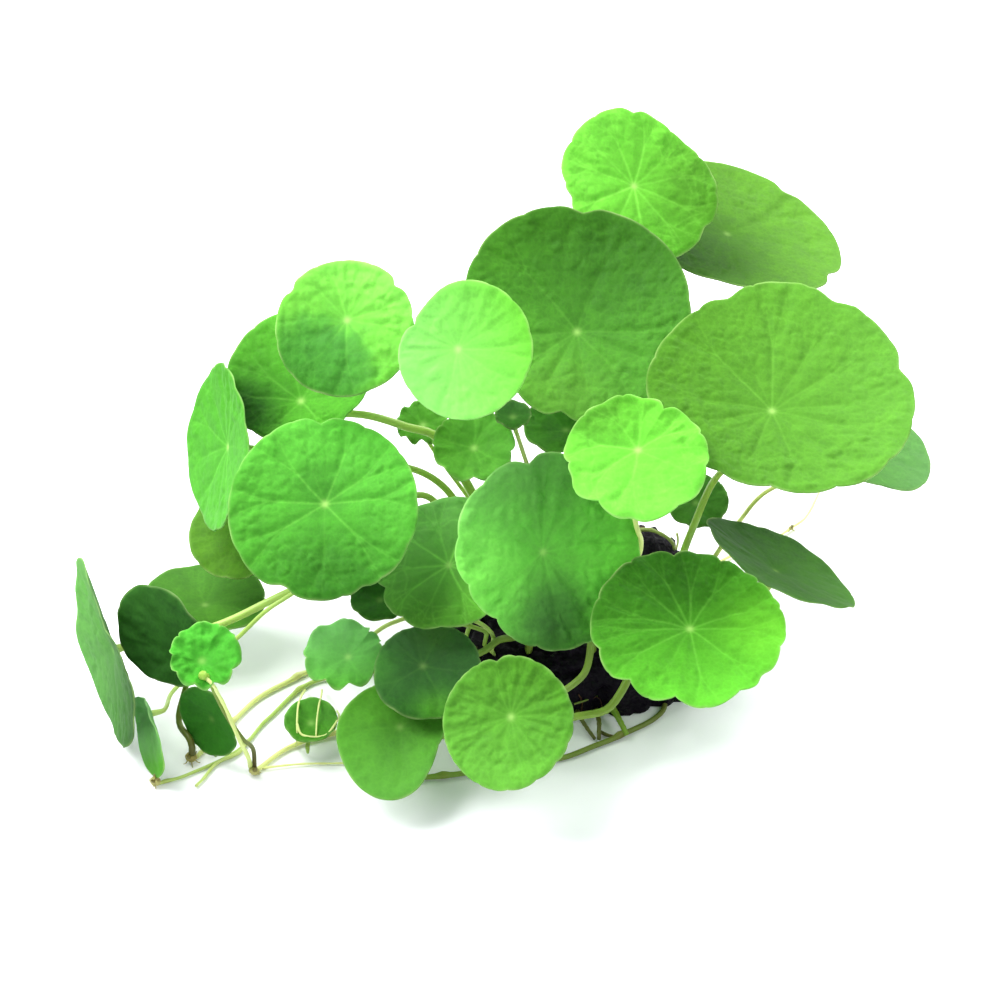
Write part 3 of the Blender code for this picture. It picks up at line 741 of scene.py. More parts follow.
PAINTED_LIGHT_AND_SHADE_PATCHES = {
    1: (
        LightAndShadePatch(0.88, 0.05, 0.50, -0.17, 0.1, 3.0),
        LightAndShadePatch(0.35, -0.85, 0.50, -0.10, 0.0, 2.0),
    ),
    2: (LightAndShadePatch(-0.30, -0.50, 0.60, -0.16, 0.0, 2.0),),
    3: (LightAndShadePatch(0.30, 0.75, 0.70, -0.12, 0.0, 2.0), LightAndShadePatch(-0.20, -0.75, 0.45, -0.03, 0.3, 2.0)),
    4: (LightAndShadePatch(0.10, 0.85, 0.45, 0.04, 0.0, 2.0),),
    6: (LightAndShadePatch(-0.65, 0.60, 0.40, -0.22, 0.1, 2.0),),
    8: (LightAndShadePatch(-0.48, -0.82, 0.84, -0.27, -0.40, 7.0),),
    9: (LightAndShadePatch(-0.75, -0.10, 0.40, -0.34, 0.0, 2.0), LightAndShadePatch(0.10, -0.40, 0.40, 0.05, 0.0, 2.0)),
    11: (LightAndShadePatch(-0.05, 0.20, 0.22, -0.14, 0.0, 2.0), LightAndShadePatch(0.10, -0.85, 0.45, -0.15, 0.0, 2.0)),
    21: (
        LightAndShadePatch(-0.85, 0.00, 0.35, 0.22, 0.0, 2.0),
        LightAndShadePatch(0.30, -0.90, 0.35, 0.24, 0.2, 3.0),
        LightAndShadePatch(0.25, 0.70, 0.40, 0.12, 0.6, 2.0),
    ),
    22: (LightAndShadePatch(-0.10, -0.20, 0.30, -0.10, 0.0, 2.0),),
    24: (LightAndShadePatch(-0.05, 0.50, 0.40, -0.12, 0.0, 2.0), LightAndShadePatch(0.75, 0.05, 0.40, 0.14, 0.2, 2.0)),
    25: (
        LightAndShadePatch(0.08, -0.60, 0.32, -0.34, 0.0, 2.0),
        LightAndShadePatch(-0.68, -0.20, 0.60, 0.42, -0.1, 2.0),
        LightAndShadePatch(0.75, 0.10, 0.65, 0.32, -0.1, 2.0),
        LightAndShadePatch(0.60, -0.60, 0.35, 0.12, -0.1, 2.0),
    ),
    26: (LightAndShadePatch(0.30, 0.50, 0.50, 0.08, 0.0, 2.0), LightAndShadePatch(0.60, -0.45, 0.45, 0.28, 0.0, 2.0)),
}


def from_least(least, share):
    """A share that runs from a least one up to one."""
    return least + (1.0 - least) * share


def turn_between(angles, direction):
    """How far each angle is from a direction given in degrees, the short way round."""
    return (angles - math.radians(direction) + math.pi) % math.tau - math.pi


def first_notch(leaf):
    """The angle of a blade's first notch, from which its lobes are counted."""
    return math.radians(RIM_NOTCHES.get(leaf.number, USUAL_NOTCHES)[0])


def lobe_phase(leaf, angles):
    """Half waves of the rim's lobes before each angle: they grew unevenly, so it wanders."""
    random = np.random.default_rng(leaf.number + LOBE_SEED)
    start = first_notch(leaf)
    phase = (angles - start) * BLADE_LOOKS[leaf.number].scallops / 2
    for wave in (1, 2, 3):
        lag = random.uniform(0.0, math.tau)
        phase = phase + LOBE_WANDER * (np.sin(wave * angles + lag) - math.sin(wave * start + lag))
    return phase


def rim_reach(leaf, angles):
    """From hub to rim at each angle, with its notches, swellings and scallops."""
    shift_x, shift_y = leaf.shift
    forward = shift_x * np.cos(angles) + shift_y * np.sin(angles)
    sideways = shift_y * np.cos(angles) - shift_x * np.sin(angles)
    span = forward + np.sqrt(1.0 - sideways**2)
    for notch in RIM_NOTCHES.get(leaf.number, ()):
        span = span - NOTCH_DEPTH * bell(turn_between(angles, notch), NOTCH_WIDTH)
    for direction, swell in RIM_BULGES.get(leaf.number, ()):
        span = span + swell * bell(turn_between(angles, direction), BULGE_WIDTH)
    phase = lobe_phase(leaf, angles)
    lobes, teeth = (np.sqrt(np.abs(np.sin(n * phase)) + LOBE_ROUNDING) - LOBE_LEVEL for n in (1.0, 2.0))
    variety = 1.0 + SCALLOP_VARIETY * np.sin(2.0 * angles + leaf.number)
    depth = SCALLOP_DEPTH * BLADE_LOOKS[leaf.number].lobing * variety
    return leaf.across / 2 * (span + depth * (lobes + TOOTH_SHARE * teeth))


def vein_starts(leaf, random):
    """The direction and boldness of each main vein: down the middle of the lobes, or as given."""
    given = [math.radians(angle) for angle in STRONG_VEINS.get(leaf.number, ())]
    count = BLADE_LOOKS[leaf.number].scallops
    round_once = np.linspace(0.0, math.tau, RIM_SAMPLES) + first_notch(leaf)
    middles = np.interp((np.arange(count) + 0.5) * math.pi, lobe_phase(leaf, round_once), round_once)
    gap = math.tau / count
    veins = [(angle, 1.0) for angle in given]
    for middle in middles:
        bold = random.uniform(0.0, 1.0) ** VEIN_SHYNESS
        if all(abs(turn_between(middle, math.degrees(angle))) > VEIN_ROOM * gap for angle in given):
            wander = random.uniform(-VEIN_WANDER, VEIN_WANDER) * gap
            veins.append((middle + wander, bold * (BESIDE_STRONG if given else 1.0)))
    return sorted((angle % math.tau, bold) for angle, bold in veins)


def fan_veins(leaf, random):
    """Vein pieces as start and end, in angle and share of the way to the rim, with width and strength."""
    starts = vein_starts(leaf, random)
    gap = math.tau / len(starts)
    pieces, branches = [], []

    def draw(path, width, strength):
        for (a0, s0), (a1, s1) in zip(path, path[1:]):
            pieces.append((a0, s0, a1, s1, width, strength * (1.0 - VEIN_FADE * (s0 + s1) / 2)))

    for angle, bold in starts:
        fork = random.uniform(*FORK_SPAN)
        drift = random.uniform(-VEIN_DRIFT, VEIN_DRIFT) * gap
        trunk = [(angle, 0.0), (angle + drift * 0.2, fork * 0.5), (angle + drift, fork)]
        draw(trunk, MAIN_VEIN, from_least(MAIN_LEAST, bold))
        for way in (-1, 1):
            spread = way * random.uniform(*FORK_SPREAD) * gap
            path = []
            for t in (0.0, 0.25, 0.5, 0.75, 1.0):
                path.append((angle + drift + spread * t**FORK_BEND, fork + (VEINS_END - fork) * t))
            draw(path, FORK_VEIN, FORK_STRENGTH[0] + FORK_STRENGTH[1] * bold)
            branches.append(path)
            twig = way * random.uniform(*TWIG_SPREAD) * gap
            middle = (path[3][0] + twig * 0.6, path[3][1])
            draw([path[2], middle, (path[4][0] + twig, TWIGS_END)], NET_VEIN, TWIG_STRENGTH)
        spur = [(angle + drift, fork), (angle + drift, fork + SPUR_LENGTH), (angle, SPURS_END)]
        draw(spur, NET_VEIN, SPUR_STRENGTH)
    for first, second in zip(branches, branches[1:] + branches[:1]):
        second = [(a + (math.tau if a < first[0][0] - math.pi else 0.0), s) for a, s in second]
        for level in (1, 2, 3):
            a0, s0 = first[level]
            a1, s1 = second[min(level + random.integers(0, 2), 4)]
            middle = ((a0 + a1) / 2, (s0 + s1) / 2 + random.uniform(-BRIDGE_WANDER, BRIDGE_WANDER))
            draw([(a0, s0), middle, (a1, s1)], NET_VEIN, BRIDGE_STRENGTH)
    return np.array(pieces)


def laid_flat(turns, lengths):
    """Flat points at these turns and lengths from the hub."""
    return np.stack([np.cos(turns), np.sin(turns)], 1) * lengths[:, None]


def vein_marks(leaf, flat, random):
    """How much of a vein each flat point has, and how far it is from the nearest strong one."""
    veins = fan_veins(leaf, random)
    near = np.zeros(len(flat))
    away = np.full(len(flat), 1.0)
    starts = laid_flat(veins[:, 0], rim_reach(leaf, veins[:, 0]) * veins[:, 1])
    ends = laid_flat(veins[:, 2], rim_reach(leaf, veins[:, 2]) * veins[:, 3])
    for begin, end, width, strength in zip(starts, ends, veins[:, 4], veins[:, 5]):
        line = end - begin
        share = np.clip((flat - begin) @ line / max(line @ line, 1e-12), 0.0, 1.0)
        gap = np.linalg.norm(flat - begin - share[:, None] * line, axis=1)
        near = np.maximum(near, strength * bell(gap, width))
        if strength > PUFFED_BESIDE:
            away = np.minimum(away, gap)
    return near, away


def skin_cells(leaf, flat, size, random):
    """The puffed cells between the finest veins: how deep inside one each point is, and its fullness."""
    half = int(leaf.across / size) + 3
    seeds = random.uniform(*CELL_PLACE_SPAN, (2 * half, 2 * half, 2))
    fullness = random.uniform(*CELL_FULLNESS_SPAN, (2 * half, 2 * half))
    cell = np.floor(flat / size).astype(int)
    gaps, full = [], []
    for step_x in (-1, 0, 1):
        for step_y in (-1, 0, 1):
            beside = cell + (step_x, step_y)
            index = (beside[:, 0] + half, beside[:, 1] + half)
            gaps.append(np.linalg.norm(flat / size - beside - seeds[index], axis=1))
            full.append(fullness[index])
    order = np.argsort(gaps, axis=0)[:2]
    nearest, second = np.take_along_axis(np.array(gaps), order, axis=0)
    return (second - nearest) / 2 * size, np.take_along_axis(np.array(full), order[:1], axis=0)[0]


def disc_rings(sides, rings):
    """How many points each ring of a disc has: fewer towards the hub."""
    counts = []
    for ring in range(1, rings + 1):
        share = ring / rings
        counts.append(sides // (1 if share > 0.5 else 2 if share > 0.25 else 4 if share > 0.125 else 8))
    return counts


def disc_faces(counts, hub_point):
    """Faces of a disc of rings about its hub, split where a ring has twice the points of the last."""
    first = hub_point + 1
    faces = [(hub_point, first + side, first + (side + 1) % counts[0]) for side in range(counts[0])]
    for inner, outer in zip(counts, counts[1:]):
        after = first + inner
        for side in range(inner):
            a, b = first + side, first + (side + 1) % inner
            if inner == outer:
                faces.append((a, after + side, after + (side + 1) % outer, b))
            else:
                c, d, e = (after + (2 * side + step) % outer for step in (0, 1, 2))
                faces += [(a, c, d), (a, d, b), (b, d, e)]
        first = after
    return faces


def blade_surface(leaf, counts, lower):
    """Flat place, height and marks of each point of a blade's upper or lower face."""
    look = BLADE_LOOKS[leaf.number]
    random = np.random.default_rng(leaf.number)
    shares = np.repeat(np.arange(len(counts) + 1) / len(counts), [1] + counts)
    turns = np.concatenate([np.arange(count) * math.tau / count for count in [1] + counts])
    reach = rim_reach(leaf, turns)
    flat = laid_flat(turns, reach * shares)
    vein, away = vein_marks(leaf, flat, random)
    quilt_depth, quilt_fullness = skin_cells(leaf, flat, QUILT_SIZE, random)
    depth, fullness = skin_cells(leaf, flat, CELL_SIZE, random)
    from_hub = np.linalg.norm(flat, axis=1)
    from_rim = (1.0 - shares) * reach

    dish = leaf.across * (CUP + WAVE * np.sin(WAVES_ROUND * turns + WAVE_TURN * leaf.number)) * shares**2
    dimple = HUB_DIMPLE * (1.0 - bell(from_hub, DIMPLE_WIDTH))
    outer = np.clip(shares * 2.0, 0.0, 1.0)
    settled = outer * np.clip((1.0 - shares) * RIM_CALM[0] + RIM_CALM[1], 0.0, 1.0)
    puff = PUFF_HEIGHT * (1.0 - bell(away, PUFF_WIDTH))
    ways = random.uniform(0.0, math.tau, 4)
    patchy = np.prod(np.sin(flat * QUILT_WAVES + ways[:2]), axis=1)
    quilt = QUILT_HEIGHT * quilt_fullness * (1.0 - bell(quilt_depth, QUILT_SHOULDER))
    cells = CELL_HEIGHT * fullness * (1.0 - bell(depth, CELL_SHOULDER)) * from_least(CELL_LEAST, shares)
    ripple = RIPPLE_HEIGHT * look.lobing * np.cos(2.0 * lobe_phase(leaf, turns)) * shares**EDGE_POWER
    relief = look.crinkle * settled * (puff + (quilt + cells) * from_least(QUILT_LEAST, patchy))
    if lower:
        relief = relief * LOWER_RELIEF - THICK_MIDDLE + (THICK_MIDDLE - THIN_EDGE) * shares**EDGE_POWER

    # The tone's slope across the blade is partly painted light and shade
    rising = math.radians(look.turn)
    slope = flat @ np.array([math.cos(rising), math.sin(rising)]) / (leaf.across / 2)
    # Fuller skin cells are painted lighter: painted light on the tops of the puffs
    tone = look.tone + look.change * slope + PUFF_TOP_PAINTED_LIGHT * (fullness - CELL_USUAL) * look.crinkle
    warmth = np.full(len(flat), look.warmth)
    ragged = RAG_ROUND * np.sin(turns * RAGS_ROUND + ways[2])
    ragged += RAG_OUTWARDS * np.sin(from_hub * RAGS_OUTWARDS + ways[3])
    # Patches of painted shade and painted light: darker under neighbouring leaves, lighter where more light
    # reaches
    for patch in PAINTED_LIGHT_AND_SHADE_PATCHES.get(leaf.number, ()):
        away_from = np.linalg.norm(flat / (leaf.across / 2) - (patch.across, patch.up), axis=1)
        cover = 1.0 / (1.0 + np.exp((away_from / patch.radius - 1.0 + ragged) * PATCH_SHARPNESS * patch.edge))
        tone = tone + patch.tone * cover
        warmth = warmth + patch.warmth * cover
    net = bell(depth, CELL_VEIN) * CELL_LINE * outer
    waver = np.sin(turns * RIM_WAVES[0] + ways[0]) * np.sin(turns * RIM_WAVES[1] + ways[1])
    worn = from_least(RIM_LEAST, waver)
    paleness = from_least(PALE_LEAST, look.tone)
    boldness = from_least(HUB_LEAST, min(HUB_PER_VEIN * look.veins, 1.0))
    # Pale bloom, partly painted sheen, thicker where the tone rises
    bloom_and_sheen = BLOOM_AND_PAINTED_SHEEN.get(leaf.number, USUAL_BLOOM_AND_SHEEN)
    marks = {
        "tone": tone,
        "warmth": np.clip(warmth, 0.0, 1.0),
        "vein": np.maximum(vein * look.veins, net * look.crinkle**2),
        "rim": bell(from_rim, RIM_LINE) * worn * paleness,
        "hub": bell(from_hub, HUB_SPOT) * boldness * paleness,
        "bloom_and_sheen": bloom_and_sheen * np.clip(1.0 + BLOOM_AND_SHEEN_DRIFT * slope, 0.0, 2.0),
        "under": np.full(len(flat), 1.0 if lower else 0.0),
    }
    return flat, dish + dimple + ripple + relief, marks


def blade_mesh(leaf, hub, axes, grid):
    """Points, faces and marks of a closed thin blade about its hub."""
    sides = SIDES_STEP * math.ceil(math.pi * leaf.across / grid / SIDES_STEP)
    rings = max(int(leaf.across / 2 / grid), FEWEST_RINGS)
    upper_rings = disc_rings(sides, rings)
    lower_rings = disc_rings(sides // 2, max(rings // 2, FEWEST_RINGS // 2)) + [sides]
    along, upward, facing = (np.array(axis) for axis in axes)
    points, marks = [], []
    for counts, lower in ((upper_rings, False), (lower_rings, True)):
        flat, height, face_marks = blade_surface(leaf, counts, lower)
        points.append(np.array(hub) + flat[:, :1] * along + flat[:, 1:] * upward + height[:, None] * facing)
        marks.append(face_marks)
    count = len(points[0])
    faces = disc_faces(upper_rings, 0) + [face[::-1] for face in disc_faces(lower_rings, count)]
    upper_rim, lower_rim = count - sides, count + len(points[1]) - sides
    for side in range(sides):
        after = (side + 1) % sides
        faces.append((upper_rim + side, lower_rim + side, lower_rim + after, upper_rim + after))
    joined = {mark: np.concatenate([marks[0][mark], marks[1][mark]]) for mark in marks[0]}
    return np.concatenate(points), faces, joined


def reckoned(tree, operation, *values, clamp=False):
    """A sum worked out on values or on the outputs of other nodes."""
    result = add_node(tree, "ShaderNodeMath", dict(enumerate(values)), operation=operation, use_clamp=clamp)
    return result.outputs["Value"]


# Living leaf: tender skin with a soft waxy gloss that lets light through, paler along veins and rim; its tone
# carries painted light and shade, and its pale bloom is partly painted sheen
living_leaf, tree, output, place = new_material("living_leaf")
mottle = grain(tree, place, MOTTLE_SIZE, 4.0)
net_sockets = {"Vector": place, "Scale": 1 / NET_SIZE}
net = add_node(tree, "ShaderNodeTexVoronoi", net_sockets, feature="DISTANCE_TO_EDGE").outputs["Distance"]
mottling = reckoned(tree, "MULTIPLY_ADD", mottle, MOTTLE_TONE, -MOTTLE_TONE / 2)
shade = reckoned(tree, "ADD", read_mark(tree, "tone"), mottling, clamp=True)
shade = reckoned(tree, "MULTIPLY_ADD", read_mark(tree, "vein"), VEIN_TONE, shade)
shade = reckoned(tree, "ADD", shade, fitted(tree, net, NET_LINE, (NET_TONE, 0.0)))
green = add_node(tree, "ShaderNodeValToRGB", {"Fac": shade})
for position, _ in LEAF_TONES[1:-1]:
    green.color_ramp.elements.new(position)
for stop, (_, tone) in zip(green.color_ramp.elements, LEAF_TONES):
    stop.color = to_linear(tone)
cast = mixed(tree, read_mark(tree, "warmth"), COOL_CAST, WARM_CAST)
colour = mixed(tree, 1.0, green.outputs["Color"], cast, "MULTIPLY")
# The pale bloom tint among these is partly painted sheen
for mark, (strength, tint) in LEAF_TINTS.items():
    share = reckoned(tree, "MULTIPLY", read_mark(tree, mark), strength)
    colour = mixed(tree, share, colour, to_linear(tint))
net_relief = relief_normal(tree, net, NET_STRENGTH, NET_HEIGHT)
pores = grain(tree, place, PORE_SIZE, 2.0)
pore_relief = relief_normal(tree, pores, PORE_STRENGTH, PORE_HEIGHT, net_relief)
leaf_finish = {
    "Roughness": fitted(tree, mottle, MOTTLE_SPAN, LEAF_ROUGHNESS),
    "Normal": pore_relief,
    "Specular IOR Level": LEAF_SHEEN,
}
living_skin(tree, output, colour, LEAF_GLOW, leaf_finish)

for leaf in LEAVES:
    hub = on_sight_line(leaf.hub, leaf.height)
    points, faces, blade_marks = blade_mesh(leaf, hub, blade_axes(leaf, hub), BLADE_GRID)
    name, node = f"blade_{leaf.number:02d}", f"leaf_{leaf.number:02d}"
    add_piece(name, points, faces, [living_leaf], [node], blade_marks)


# Young leaves
# The small leaves that are still coming on between the big ones, each with its own thread of a stalk.
# They are built as the big ones are, blade and stalk together, because each grew in one piece.
YOUNG_GRID = 0.00032

YOUNG_LEAVES = (
    Leaf(15, (202, 661), 0.033, 0.0137, 0.92, 100, (0.10, 0.10), (-0.0648, -0.0345)),
    Leaf(16, (212, 719), 0.011, 0.0155, 0.58, 214, (0.00, 0.00), (-0.073, -0.030)),
    Leaf(18, (150, 714), 0.0129, 0.0166, 0.24, 195, (0.30, -0.45), (-0.022, -0.008)),
    Leaf(19, (348, 657), 0.020, 0.0159, 0.84, 100, (-0.11, 0.00), (-0.017, -0.0125)),
    Leaf(20, (311, 723), 0.006, 0.0108, 0.82, 95, (0.00, 0.00), (-0.0545, -0.029)),
    Leaf(27, (380, 600), 0.020, 0.0120, 0.80, 100, (0.00, 0.00), (-0.0185, -0.0105)),
    Leaf(28, (474, 448), 0.058, 0.0162, 0.86, 95, (0.00, 0.00), (-0.008, 0.000)),
    Leaf(29, (423, 425), 0.0435, 0.0108, 0.80, 100, (0.00, 0.00), (-0.0165, 0.0150)),
    Leaf(30, (513, 417), 0.066, 0.0072, 0.75, 90, (0.00, 0.00), (-0.004, 0.003)),
    Leaf(31, (566, 430), 0.058, 0.0170, 0.66, 90, (0.00, 0.00), (0.001, -0.001)),
    Leaf(32, (696, 503), 0.026, 0.0135, 0.85, 80, (0.00, 0.00), (0.0215, 0.008)),
)

for leaf in YOUNG_LEAVES:
    hub = on_sight_line(leaf.hub, leaf.height)
    axes = blade_axes(leaf, hub)
    blade, blade_faces, blade_marks = blade_mesh(leaf, hub, axes, YOUNG_GRID)
    stalk, stalk_faces, stalk_marks = stalk_mesh(leaf, hub, axes[2], YOUNG_STALK_RADIUS, YOUNG_STALK_RADIUS)
    points = [tuple(point) for point in blade] + [tuple(point) for point in stalk]
    faces = blade_faces + [tuple(corner + len(blade) for corner in face) for face in stalk_faces]
    no_blade, no_stalk = np.zeros(len(blade)), np.zeros(len(stalk))
    all_marks = {mark: np.concatenate([values, no_stalk]) for mark, values in blade_marks.items()}
    all_marks |= {mark: np.concatenate([no_blade, values]) for mark, values in stalk_marks.items()}
    name, node = f"small_leaf_{leaf.number:02d}", f"young_leaf_{leaf.number:02d}"
    skins = [0] * len(blade_faces) + [1] * len(stalk_faces)
    add_piece(name, points, faces, [living_leaf, living_stem], [node], all_marks, skins)


# Roots and root joints
# Threads of root: fine ones that bind the soil, loops and stubs at its foot, and strands along the ground.
# Pale and juicy where they are new, brown where they are old; they grew from the stems' joints.
FINE_ROOTS = 22
FINE_ROOT_RADIUS = 0.00012
FINE_ROOT_GIRTHS = (0.7, 1.4)
FINE_ROOT_LEVELS = (0.15, 1.0)
FINE_ROOT_LIFTS = (0.0, 1.8)
FINE_ROOT_WANDER = 0.3
FINE_ROOT_STEP = 0.0008
FINE_ROOT_STEPS = 26
FEWEST_STEPS = 6
ROOT_STEP = 0.0006
ROOT_SIDES = 8
ROOT_TAPER = 0.3
ROOT_UNEVENNESS = 0.08
ROOT_WAVES = 40.0
JOINT_STEPS = 9
JOINT_LUMPS = 0.12
JOINT_HEADING = Vector((1.0, -0.35, 0.1)).normalized()
JOINT_WIDTH = 1.25
SWELLING_LENGTH = 1.5
SWELLING_END = 0.03
JOINT_ROOTS = 3
JOINT_ROOT_REACH = (0.6, 1.0)
JOINT_ROOT_TAPER = (1.5, 0.6)
JOINT_ROOT_BROWN = 0.4
JOINT_BRACTS = 3
BRACT_SPREAD = 0.7
BRACT_RISE = (0.5, 1.1)
BRACT_LENGTH = 1.1
BRACT_RADIUS = 0.3
BRACT_TINTS = (0.2, 0.75, 0.2)
BUD_PLACE = (204, 676, 32.8)
BUD_SIZE = 0.0019
BUD_SEED = 61
BUD_HEADING = Vector((-0.5, -0.3, 0.8)).normalized()

# Radius in millimetres, yellow and brown; then for each bend its pixel across, pixel down, and lift off
# the soil or the ground in millimetres
LYING_ROOTS = {
    "soil_foot_root_1": (
        0.52, 0.1, 0.8, (577, 711, 0.3), (583, 722, 2.2), (589, 731, 1.4), (595, 739, 0.6),
    ),
    "soil_foot_root_2": (
        0.6, 0.0, 0.8, (596, 711, 0.3), (599, 722, 2.4), (599, 732, 1.6), (599, 740, 0.6),
    ),
    "soil_foot_root_3": (
        0.78, 0.0, 0.3, (610, 705, 0.5), (616, 714, 2.6), (622, 725, 2.2), (627, 735, 1.0),
    ),
    "soil_foot_root_4": (0.42, 0.0, 0.85, (599, 731, 0.7), (607, 735, 0.6), (617, 737, 0.6)),
    "thin_arching_root": (
        0.26, 0.2, 0.7, (503, 622, 0.4), (508, 628, 1.0), (520, 637, 1.4), (527, 646, 0.2),
    ),
    "grey_soil_root": (0.22, 0.2, 0.5, (574, 704, 0.2), (584, 701, 0.6), (597, 696, 0.2)),
    "ground_root_left": (
        0.42, 0.6, 0.0, (246, 744, 0.5), (238, 753, 0.5), (217, 763, 0.5), (203, 779, 0.5), (196, 786, 0.5),
    ),
    "ground_root_middle": (
        0.24, 1.0, 0.0, (262, 768, 0.5), (300, 764, 0.4), (345, 763, 0.4), (380, 760, 0.4),
    ),
}

# The same, but with the height of each bend above the ground
STANDING_ROOTS = {
    "ground_root_right": (
        0.36, 0.95, 0.0, (661, 595, 0.8), (680, 583, 0.7), (700, 572, 0.6), (735, 554, 0.5), (770, 541, 0.5),
        (791, 528, 0.5), (805, 518, 0.5), (817, 497, 0.5), (824, 480, 0.5),
    ),
    "back_root_loop": (
        0.48, 0.6, 0.3, (632, 534, 19.2), (640, 530, 21.0), (651, 530, 21.4), (663, 535, 20.6),
        (671, 541, 19.0), (674, 548, 17.4), (668, 557, 15.4),
    ),
    "back_root_stub": (0.3, 0.7, 0.25, (677, 533, 17.0), (678, 541, 15.6), (676, 551, 14.2)),
    "young_leaf_root_1": (
        0.26, 0.85, 0.0, (305, 690, 0.9), (301, 697, 6.8), (298, 707, 8.4), (297, 723, 7.1),
        (297, 735, 5.6), (296, 746, 0.5),
    ),
    "young_leaf_root_2": (
        0.28, 0.8, 0.0, (297, 724, 7.1), (301, 734, 6.2), (312, 737, 6.0), (326, 735, 6.1),
        (335, 724, 7.0), (339, 716, 6.2), (337, 711, 4.6),
    ),
    "young_leaf_root_3": (
        0.24, 0.85, 0.0, (322, 690, 1.0), (321, 697, 7.2), (319, 705, 8.6), (317, 719, 7.4), (316, 736, 6.1),
    ),
    "bud_stalk": (
        0.5, 0.7, 0.05, (251, 768, 0.8), (248, 757, 6.5), (238, 737, 13.9), (226, 709, 20.6),
        (217, 692, 28.0), (213, 685, 31.8), (205, 677, 32.6),
    ),
}

# Joints where the stems root: pixel across, pixel down, height in millimetres, how big, how brown
ROOT_JOINTS = {
    "root_joint_far_left": (155, 781, 1.3, 0.0016, 0.4),
    "root_joint_left": (191, 757, 1.5, 0.0017, 0.55),
    "root_joint_middle": (254, 771, 1.4, 0.0015, 0.35),
    "root_joint_right": (791, 528, 0.8, 0.0008, 0.4),
}

soil_top = BVHTree.FromPolygons(soil_points, soil_faces)


def standing_spot(across, down, height):
    """What the photograph shows at a pixel, at a height in millimetres."""
    return on_sight_line((across, down), height / 1000)


def lying_spot(across, down, lift):
    """What it shows there on the soil or on the ground, raised by a lift in millimetres."""
    sight = (on_picture_plane((across, down)) - EYE).normalized()
    spot, _, _, _ = soil_top.ray_cast(EYE, sight)
    return spot - sight * lift / 1000 if spot else standing_spot(across, down, lift)


def joined_tubes(tubes):
    """Points and faces of several round stems in one mesh."""
    points, faces = [], []
    for route, radii in tubes:
        tube_points, tube_faces, _ = stem_mesh(route, radii, ROOT_SIDES)
        faces += [tuple(corner + len(points) for corner in face) for face in tube_faces]
        points += tube_points
    return points, faces


def swollen(middle, heading, length, width, random):
    """A short lumpy swelling of a stem about its middle."""
    share = np.linspace(0.0, 1.0, JOINT_STEPS)
    lumps = 1.0 + JOINT_LUMPS * random.standard_normal(JOINT_STEPS)
    radii = width / 2 * np.sqrt(np.clip(np.sin(share * math.pi), SWELLING_END, 1.0)) * lumps
    return [middle + heading * length * (s - 0.5) for s in share], radii


def above_ground(route, radii):
    """The same route, lifted where a root of these radii would dip into the ground."""
    return [Vector((spot.x, spot.y, max(spot.z, radius))) for spot, radius in zip(route, radii)]


def add_root(name, tubes, yellow, brown, scar=0.0):
    """A piece made of round stems, with the same colour all over."""
    points, faces = joined_tubes(tubes)
    even = np.ones(len(points))
    colour_marks = {"yellow": even * yellow, "brown": even * brown, "scar": even * scar}
    add_piece(name, points, faces, [living_stem], (), colour_marks)


for name, (radius, yellow, brown, *bends) in (LYING_ROOTS | STANDING_ROOTS).items():
    find_spot = lying_spot if name in LYING_ROOTS else standing_spot
    route = smooth_route([find_spot(*bend) for bend in bends], ROOT_STEP)
    share = np.linspace(0.0, 1.0, len(route))
    radii = radius / 1000 * (1.0 - ROOT_TAPER * share) * (1.0 + ROOT_UNEVENNESS * np.sin(share * ROOT_WAVES))
    add_root(name, [(above_ground(route, radii), radii)], yellow, brown)

random = np.random.default_rng(BUD_SEED)
bud_middle = standing_spot(*BUD_PLACE)
bud = swollen(bud_middle, BUD_HEADING, BUD_SIZE * SWELLING_LENGTH, BUD_SIZE, random)
add_root("leaf_bud", [bud], 0.1, 0.0)

for name, (across, down, height, size, brown) in ROOT_JOINTS.items():
    random = np.random.default_rng(across)
    middle = standing_spot(across, down, height)
    tubes = [swollen(middle, JOINT_HEADING, size * SWELLING_LENGTH, size * JOINT_WIDTH, random)]
    for _ in range(JOINT_ROOTS):
        way = random.uniform(0.0, math.tau)
        out = Vector((math.cos(way), math.sin(way), 0.0)) * size * random.uniform(*JOINT_ROOT_REACH)
        low = Vector((middle.x, middle.y, FINE_ROOT_RADIUS * JOINT_ROOT_TAPER[0]))
        bends = [middle, (middle + low) / 2 + out * 0.5, low + out * 0.9, low + out * 1.2]
        route = smooth_route(bends, ROOT_STEP)
        radii = np.linspace(*JOINT_ROOT_TAPER, len(route)) * FINE_ROOT_RADIUS
        tubes.append((above_ground(route, radii), radii))
    add_root(name, tubes, 1.0 - brown, brown * JOINT_ROOT_BROWN, brown)
    tubes = []
    for _ in range(JOINT_BRACTS):
        way = random.uniform(0.0, math.tau)
        rise = random.uniform(*BRACT_RISE)
        tip = Vector((math.cos(way) * BRACT_SPREAD, math.sin(way) * BRACT_SPREAD, rise)) * size * BRACT_LENGTH
        bends = [middle, middle + tip * 0.6, middle + tip + Vector((0.0, 0.0, size * 0.1))]
        route = smooth_route(bends, ROOT_STEP / 3)
        share = np.linspace(0.0, 1.0, len(route))
        tubes.append((route, size * BRACT_RADIUS * (1.05 - share) * (1.0 + 0.6 * np.sin(share * math.pi))))
    add_root(name.replace("root_joint", "joint_bracts"), tubes, *BRACT_TINTS)

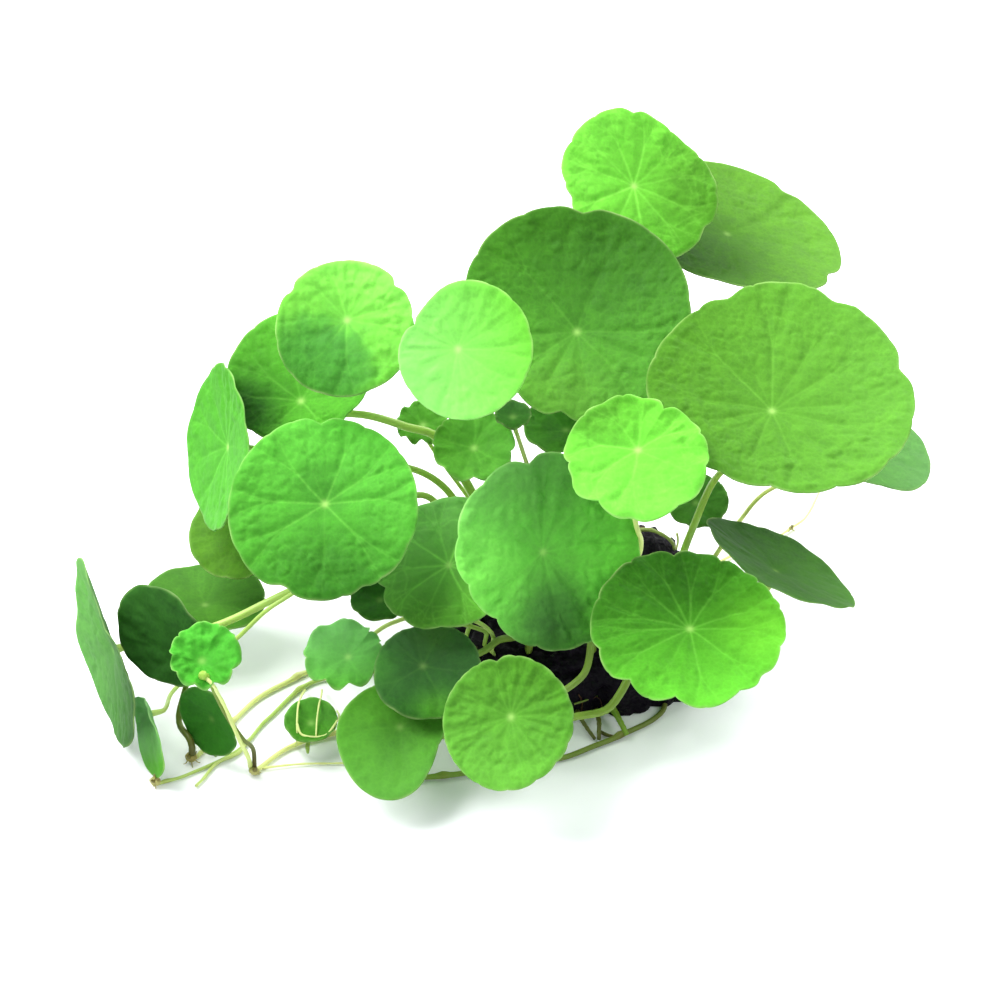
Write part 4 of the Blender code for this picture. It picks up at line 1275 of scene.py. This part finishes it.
# The fine roots go on with the last joint's random draws
tubes = []
for _ in range(FINE_ROOTS):
    way, rise = random.uniform(0.0, math.tau), random.uniform(*FINE_ROOT_LEVELS)
    spot = Vector((math.cos(way) * SOIL_RADIUS_X, math.sin(way) * SOIL_RADIUS_FRONT, SOIL_HEIGHT * rise))
    heading = Vector(random.standard_normal(3)).normalized()
    route = []
    for _ in range(FINE_ROOT_STEPS):
        on_top, normal, _, _ = soil_top.find_nearest(spot)
        if on_top.z < FINE_ROOT_RADIUS * 3:
            break
        route.append(on_top + normal * FINE_ROOT_RADIUS * random.uniform(*FINE_ROOT_LIFTS))
        heading = (heading + Vector(random.standard_normal(3)) * FINE_ROOT_WANDER).normalized()
        heading = (heading - normal * heading.dot(normal)).normalized()
        spot = on_top + heading * FINE_ROOT_STEP
    if len(route) >= FEWEST_STEPS:
        tubes.append((route, [FINE_ROOT_RADIUS * random.uniform(*FINE_ROOT_GIRTHS)] * len(route)))
add_root("soil_binding_roots", tubes, 0.0, 1.0)


# Floor, lights and camera
# A plain pale floor and broad soft studio lights; the camera looks from the photograph's own place.
FLOOR_SIZE = 4.0
FLOOR_DROP = 0.0002
FLOOR_ROUGHNESS = 0.8
PALE_FLOOR = 0xF8F9FC
AIR_COLOUR = (0.94, 0.97, 1.0, 1.0)
AIR_STRENGTH = 0.55
CAMERA_SENSOR = 36.0
CAMERA_NEAREST = 0.01
PICTURE_PIXELS = 1000

# Place, width in metres and power in watts
LIGHTS = {
    "key_light": ((-0.45, 0.12, 0.65), 0.6, 13.5),
    "back_light": ((0.35, 0.55, 0.45), 0.4, 5.0),
    "fill_light": ((0.4, -0.2, 0.6), 0.6, 3.0),
}

bpy.ops.mesh.primitive_plane_add(size=FLOOR_SIZE, location=(0.0, 0.0, -FLOOR_DROP))
floor = bpy.context.object
floor.name = "studio_floor"
pale_floor, tree, output, _ = new_material("pale_floor")
floor_finish = {"Base Color": to_linear(PALE_FLOOR), "Roughness": FLOOR_ROUGHNESS}
floor_skin = add_node(tree, "ShaderNodeBsdfPrincipled", floor_finish)
tree.links.new(floor_skin.outputs["BSDF"], output.inputs["Surface"])
floor.data.materials.append(pale_floor)

world = bpy.data.worlds.new("studio_air")
world.use_nodes = True
air = world.node_tree.nodes["Background"]
air.inputs["Color"].default_value = AIR_COLOUR
air.inputs["Strength"].default_value = AIR_STRENGTH
bpy.context.scene.world = world
bpy.context.scene.view_settings.view_transform = "Standard"

for name, (place, size, power) in LIGHTS.items():
    lamp = bpy.data.lights.new(name, "AREA")
    lamp.size = size
    lamp.energy = power
    light = bpy.data.objects.new(name, lamp)
    light.location = place
    light.rotation_euler = (-Vector(place)).to_track_quat("-Z", "Y").to_euler()
    bpy.context.scene.collection.objects.link(light)

camera_data = bpy.data.cameras.new("photo_camera")
camera_data.sensor_width = CAMERA_SENSOR
camera_data.lens = CAMERA_SENSOR * VIEW_DISTANCE / (PICTURE_PIXELS * PIXEL_SIZE)
camera_data.clip_start = CAMERA_NEAREST
camera = bpy.data.objects.new("photo_camera", camera_data)
camera.location = EYE
camera.rotation_euler = view_axes()[2].to_track_quat("Z", "Y").to_euler()
bpy.context.scene.collection.objects.link(camera)
bpy.context.scene.camera = camera
